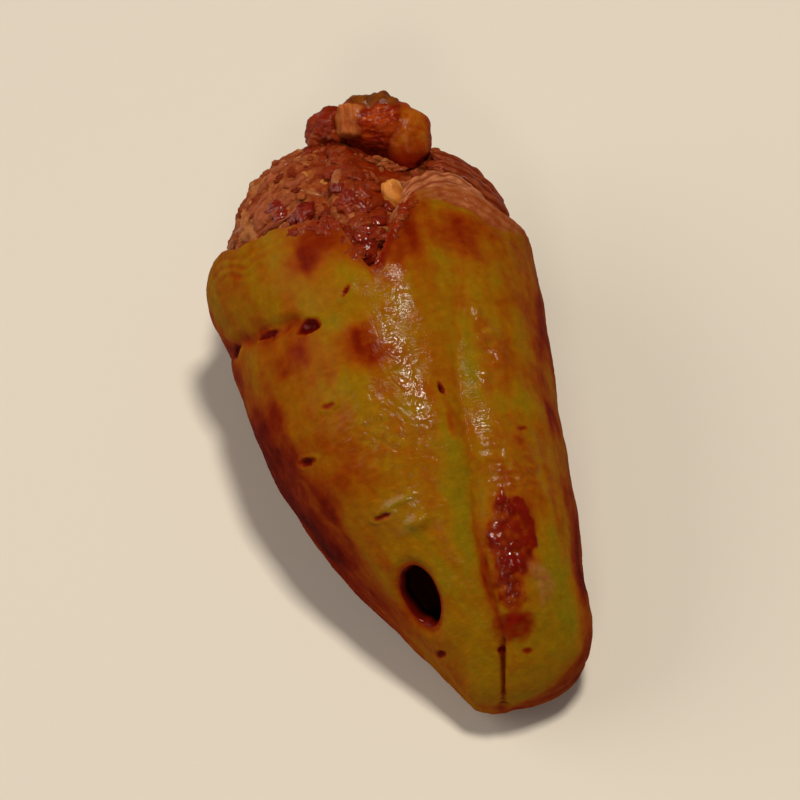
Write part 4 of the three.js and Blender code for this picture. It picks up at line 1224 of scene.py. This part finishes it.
def roll_material(name, a, b, groove_shade):
    n = Nodes(name)
    mid = n.noise(600, 4)
    c = n.mix(n.ramp(mid, 0.35, 0.65), a, b)
    c = n.mix(n.attr("brown"), c, n.mix(1.0, c, (0.74, 0.54, 0.50), "MULTIPLY"))
    # painted shade in the grooves between the ridges of each roll
    c = n.mix(n.math("MULTIPLY", n.ramp(n.attr("groove_shade"), 0.4, 0.95), 0.85), c, groove_shade)
    normal = n.bump(n.noise(1400, 3), 0.3, 0.0003)
    return n.done(Base_Color=c, Roughness=n.lerp(mid, 0.36, 0.5), Normal=normal, Coat_Normal=normal,
                  Subsurface_Weight=0.1, Subsurface_Radius=(0.8, 0.2, 0.05), Subsurface_Scale=0.002,
                  Specular_IOR_Level=0.0, Coat_Weight=0.15, Coat_Roughness=0.16, IOR=1.4)


rolls = strip("rolled_skin", [
    [(7.4, 29.0, 34.0, 0.9, 0.5), (10.0, 27.6, 33.0, 1.4, 0.7), (12.6, 26.0, 31.4, 1.6, 0.8), (15.0, 24.0, 29.4, 1.5, 0.8), (16.6, 22.0, 27.2, 1.3, 0.7)]
    + [tuple(on_heap(*at)[0]) + (w, 0.7) for at, w in (((17.6, 22.4, 24.0), 1.2), ((18.6, 23.2, 20.4), 1.0), ((18.4, 24.4, 16.6), 0.5))],
    [(6.2, 25.8, 36.2, 0.9, 0.5), (9.0, 24.8, 35.4, 1.4, 0.7), (12.0, 22.8, 33.8, 1.5, 0.8), (14.6, 20.4, 31.8, 1.4, 0.7), (16.8, 18.6, 29.4, 1.2, 0.6)]
    + [tuple(on_heap(*at)[0]) + (w, 0.6) for at, w in (((18.2, 19.6, 26.0), 1.1), ((18.8, 20.4, 22.4), 0.9), ((18.8, 21.4, 18.6), 0.4))],
    [tuple(on_heap(*at)[0]) + (w, 0.7) for at, w in (((12.4, 27.4, 29.0), 0.5), ((14.4, 26.4, 26.4), 0.9), ((15.8, 25.6, 22.8), 1.1), ((16.4, 26.2, 18.8), 0.9), ((16.2, 27.0, 15.4), 0.4))],
], roll_material("rolled_skin", (0.265, 0.050, 0.015), (0.175, 0.025, 0.007), (0.125, 0.011, 0.003)), 61)


def beyond(at, past, up):
    """A place just past the rim of the skin, at an angle in degrees round it."""
    k = np.array(at * RAD)
    p = outer(k, edge_of(k) + past) + surface_normal(k, edge_of(k)) * up
    return tuple(p)


strands = []
for k in range(26):  # on the left of the heap, leaning as in the photograph
    r, u = rng.uniform(-20, -10.5), rng.uniform(-14.5, -3.0)
    lean, size = rng.uniform(0.5, 1.4), rng.uniform(1.0, 2.3)
    bend = rng.uniform(-0.5, 0.5)
    path = [(r + size * (t * math.cos(lean) - bend * (1 - t * t) * math.sin(lean)), u + size * (t * math.sin(lean) + bend * (1 - t * t) * math.cos(lean)))
            for t in (-1.0, 0.0, 1.0)]
    if path[0][1] > -8.0 - 0.9 * (path[0][0] + 20):
        continue
    wide = rng.uniform(0.45, 0.84)
    strands.append([tuple(seen(x, y, 0.05)[0]) + (wide, 0.36) for x, y in path])

folds = strip("pale_folds", [
    [beyond(at, 0.7, up) + (w, 1.2) for at, up, w in ((80, -1.3, 0.6), (72, -0.8, 1.0), (64, -0.3, 1.2), (56, -0.2, 1.2), (48, -0.35, 1.1), (40, -0.7, 0.8), (33, -1.4, 0.6))],
    [beyond(at, 2.4, up) + (w, 1.3) for at, up, w in ((76, -1.4, 0.6), (70, -0.8, 1.1), (62, -0.3, 1.3), (54, -0.2, 1.3), (46, -0.6, 1.1), (39, -1.5, 0.6))],
    [tuple(seen(r, u, 0.25)[0]) + (0.45, 0.4) for r, u in ((-18.0, -16.1), (-16.1, -15.1), (-13.8, -13.6), (-11.85, -12.2), (-10.5, -11.4))],
    [tuple(seen(r, u, 0.2)[0]) + (0.5, 0.4) for r, u in ((-19.6, -13.4), (-18.0, -11.0), (-16.4, -9.4))],
    [tuple(seen(r, u, 0.2)[0]) + (0.6, 0.4) for r, u in ((-17.4, -7.6), (-15.6, -6.0), (-13.4, -4.4))],
    [tuple(seen(r, u, 0.2)[0]) + (0.6, 0.4) for r, u in ((-14.6, -8.8), (-12.6, -8.4), (-11.2, -6.8))],
] + strands, roll_material("pale_folds", (0.46, 0.160, 0.064), (0.32, 0.090, 0.034), (0.21, 0.036, 0.010)), 63)


# --------------------------------------------------------------- floor, light and camera
def floor():
    me = bpy.data.meshes.new("floor")
    me.from_pydata([(-3, -3, 0), (3, -3, 0), (3, 3, 0), (-3, 3, 0)], [], [(0, 1, 2, 3)])
    m = bpy.data.materials.new("floor")
    m.use_nodes = True
    b = m.node_tree.nodes["Principled BSDF"]
    b.inputs["Base Color"].default_value = (0.76, 0.71, 0.64, 1)
    b.inputs["Roughness"].default_value = 0.8
    b.inputs["Specular IOR Level"].default_value = 0.2
    me.materials.append(m)
    ob = bpy.data.objects.new("floor", me)
    bpy.context.scene.collection.objects.link(ob)


floor()


def area(name, place, target, size, watts, colour):
    data = bpy.data.lights.new(name, "AREA")
    data.shape = "RECTANGLE"
    data.size, data.size_y = size
    data.energy = watts
    data.color = colour
    ob = bpy.data.objects.new(name, data)
    ob.location = place
    ob.rotation_euler = (Vector(target) - Vector(place)).to_track_quat("-Z", "Y").to_euler()
    bpy.context.scene.collection.objects.link(ob)


area("key", (0.12, 0.06, 0.75), (0, 0, 0.02), (0.13, 0.10), 4.0, (1.0, 0.92, 0.78))
area("front", (-0.12, -0.43, 0.47), (0, 0, 0.02), (0.10, 0.08), 0.42, (1.0, 0.92, 0.80))
area("left", (-0.70, 0.22, 0.52), (0, 0, 0.02), (0.8, 0.6), 2.7, (1.0, 0.94, 0.84))
world = bpy.data.worlds.new("world")
world.use_nodes = True
world.node_tree.nodes["Background"].inputs["Color"].default_value = (1.0, 0.93, 0.84, 1)
world.node_tree.nodes["Background"].inputs["Strength"].default_value = 0.08
bpy.context.scene.world = world
bpy.context.scene.view_settings.view_transform = "Standard"

# The camera stands where the photograph's did, with its roll, and looks at the pepper.
ROLL = 3.912 * RAD
place = Vector((-0.03014, -0.20980, 0.37955))
target = Vector((0.0, 0.0005, 0.0195))
ahead = (target - place).normalized()
right = ahead.cross(Vector((0, 0, 1))).normalized()
up = right.cross(ahead)
x = right * math.cos(ROLL) - up * math.sin(ROLL)
y = right * math.sin(ROLL) + up * math.cos(ROLL)
cam = bpy.data.cameras.new("camera")
cam.sensor_width = 36
cam.lens = 126
cam_ob = bpy.data.objects.new("camera", cam)
bpy.context.scene.collection.objects.link(cam_ob)
cam_ob.matrix_world = Matrix((
    (x.x, y.x, -ahead.x, place.x),
    (x.y, y.y, -ahead.y, place.y),
    (x.z, y.z, -ahead.z, place.z),
    (0, 0, 0, 1),
))
bpy.context.scene.camera = cam_ob
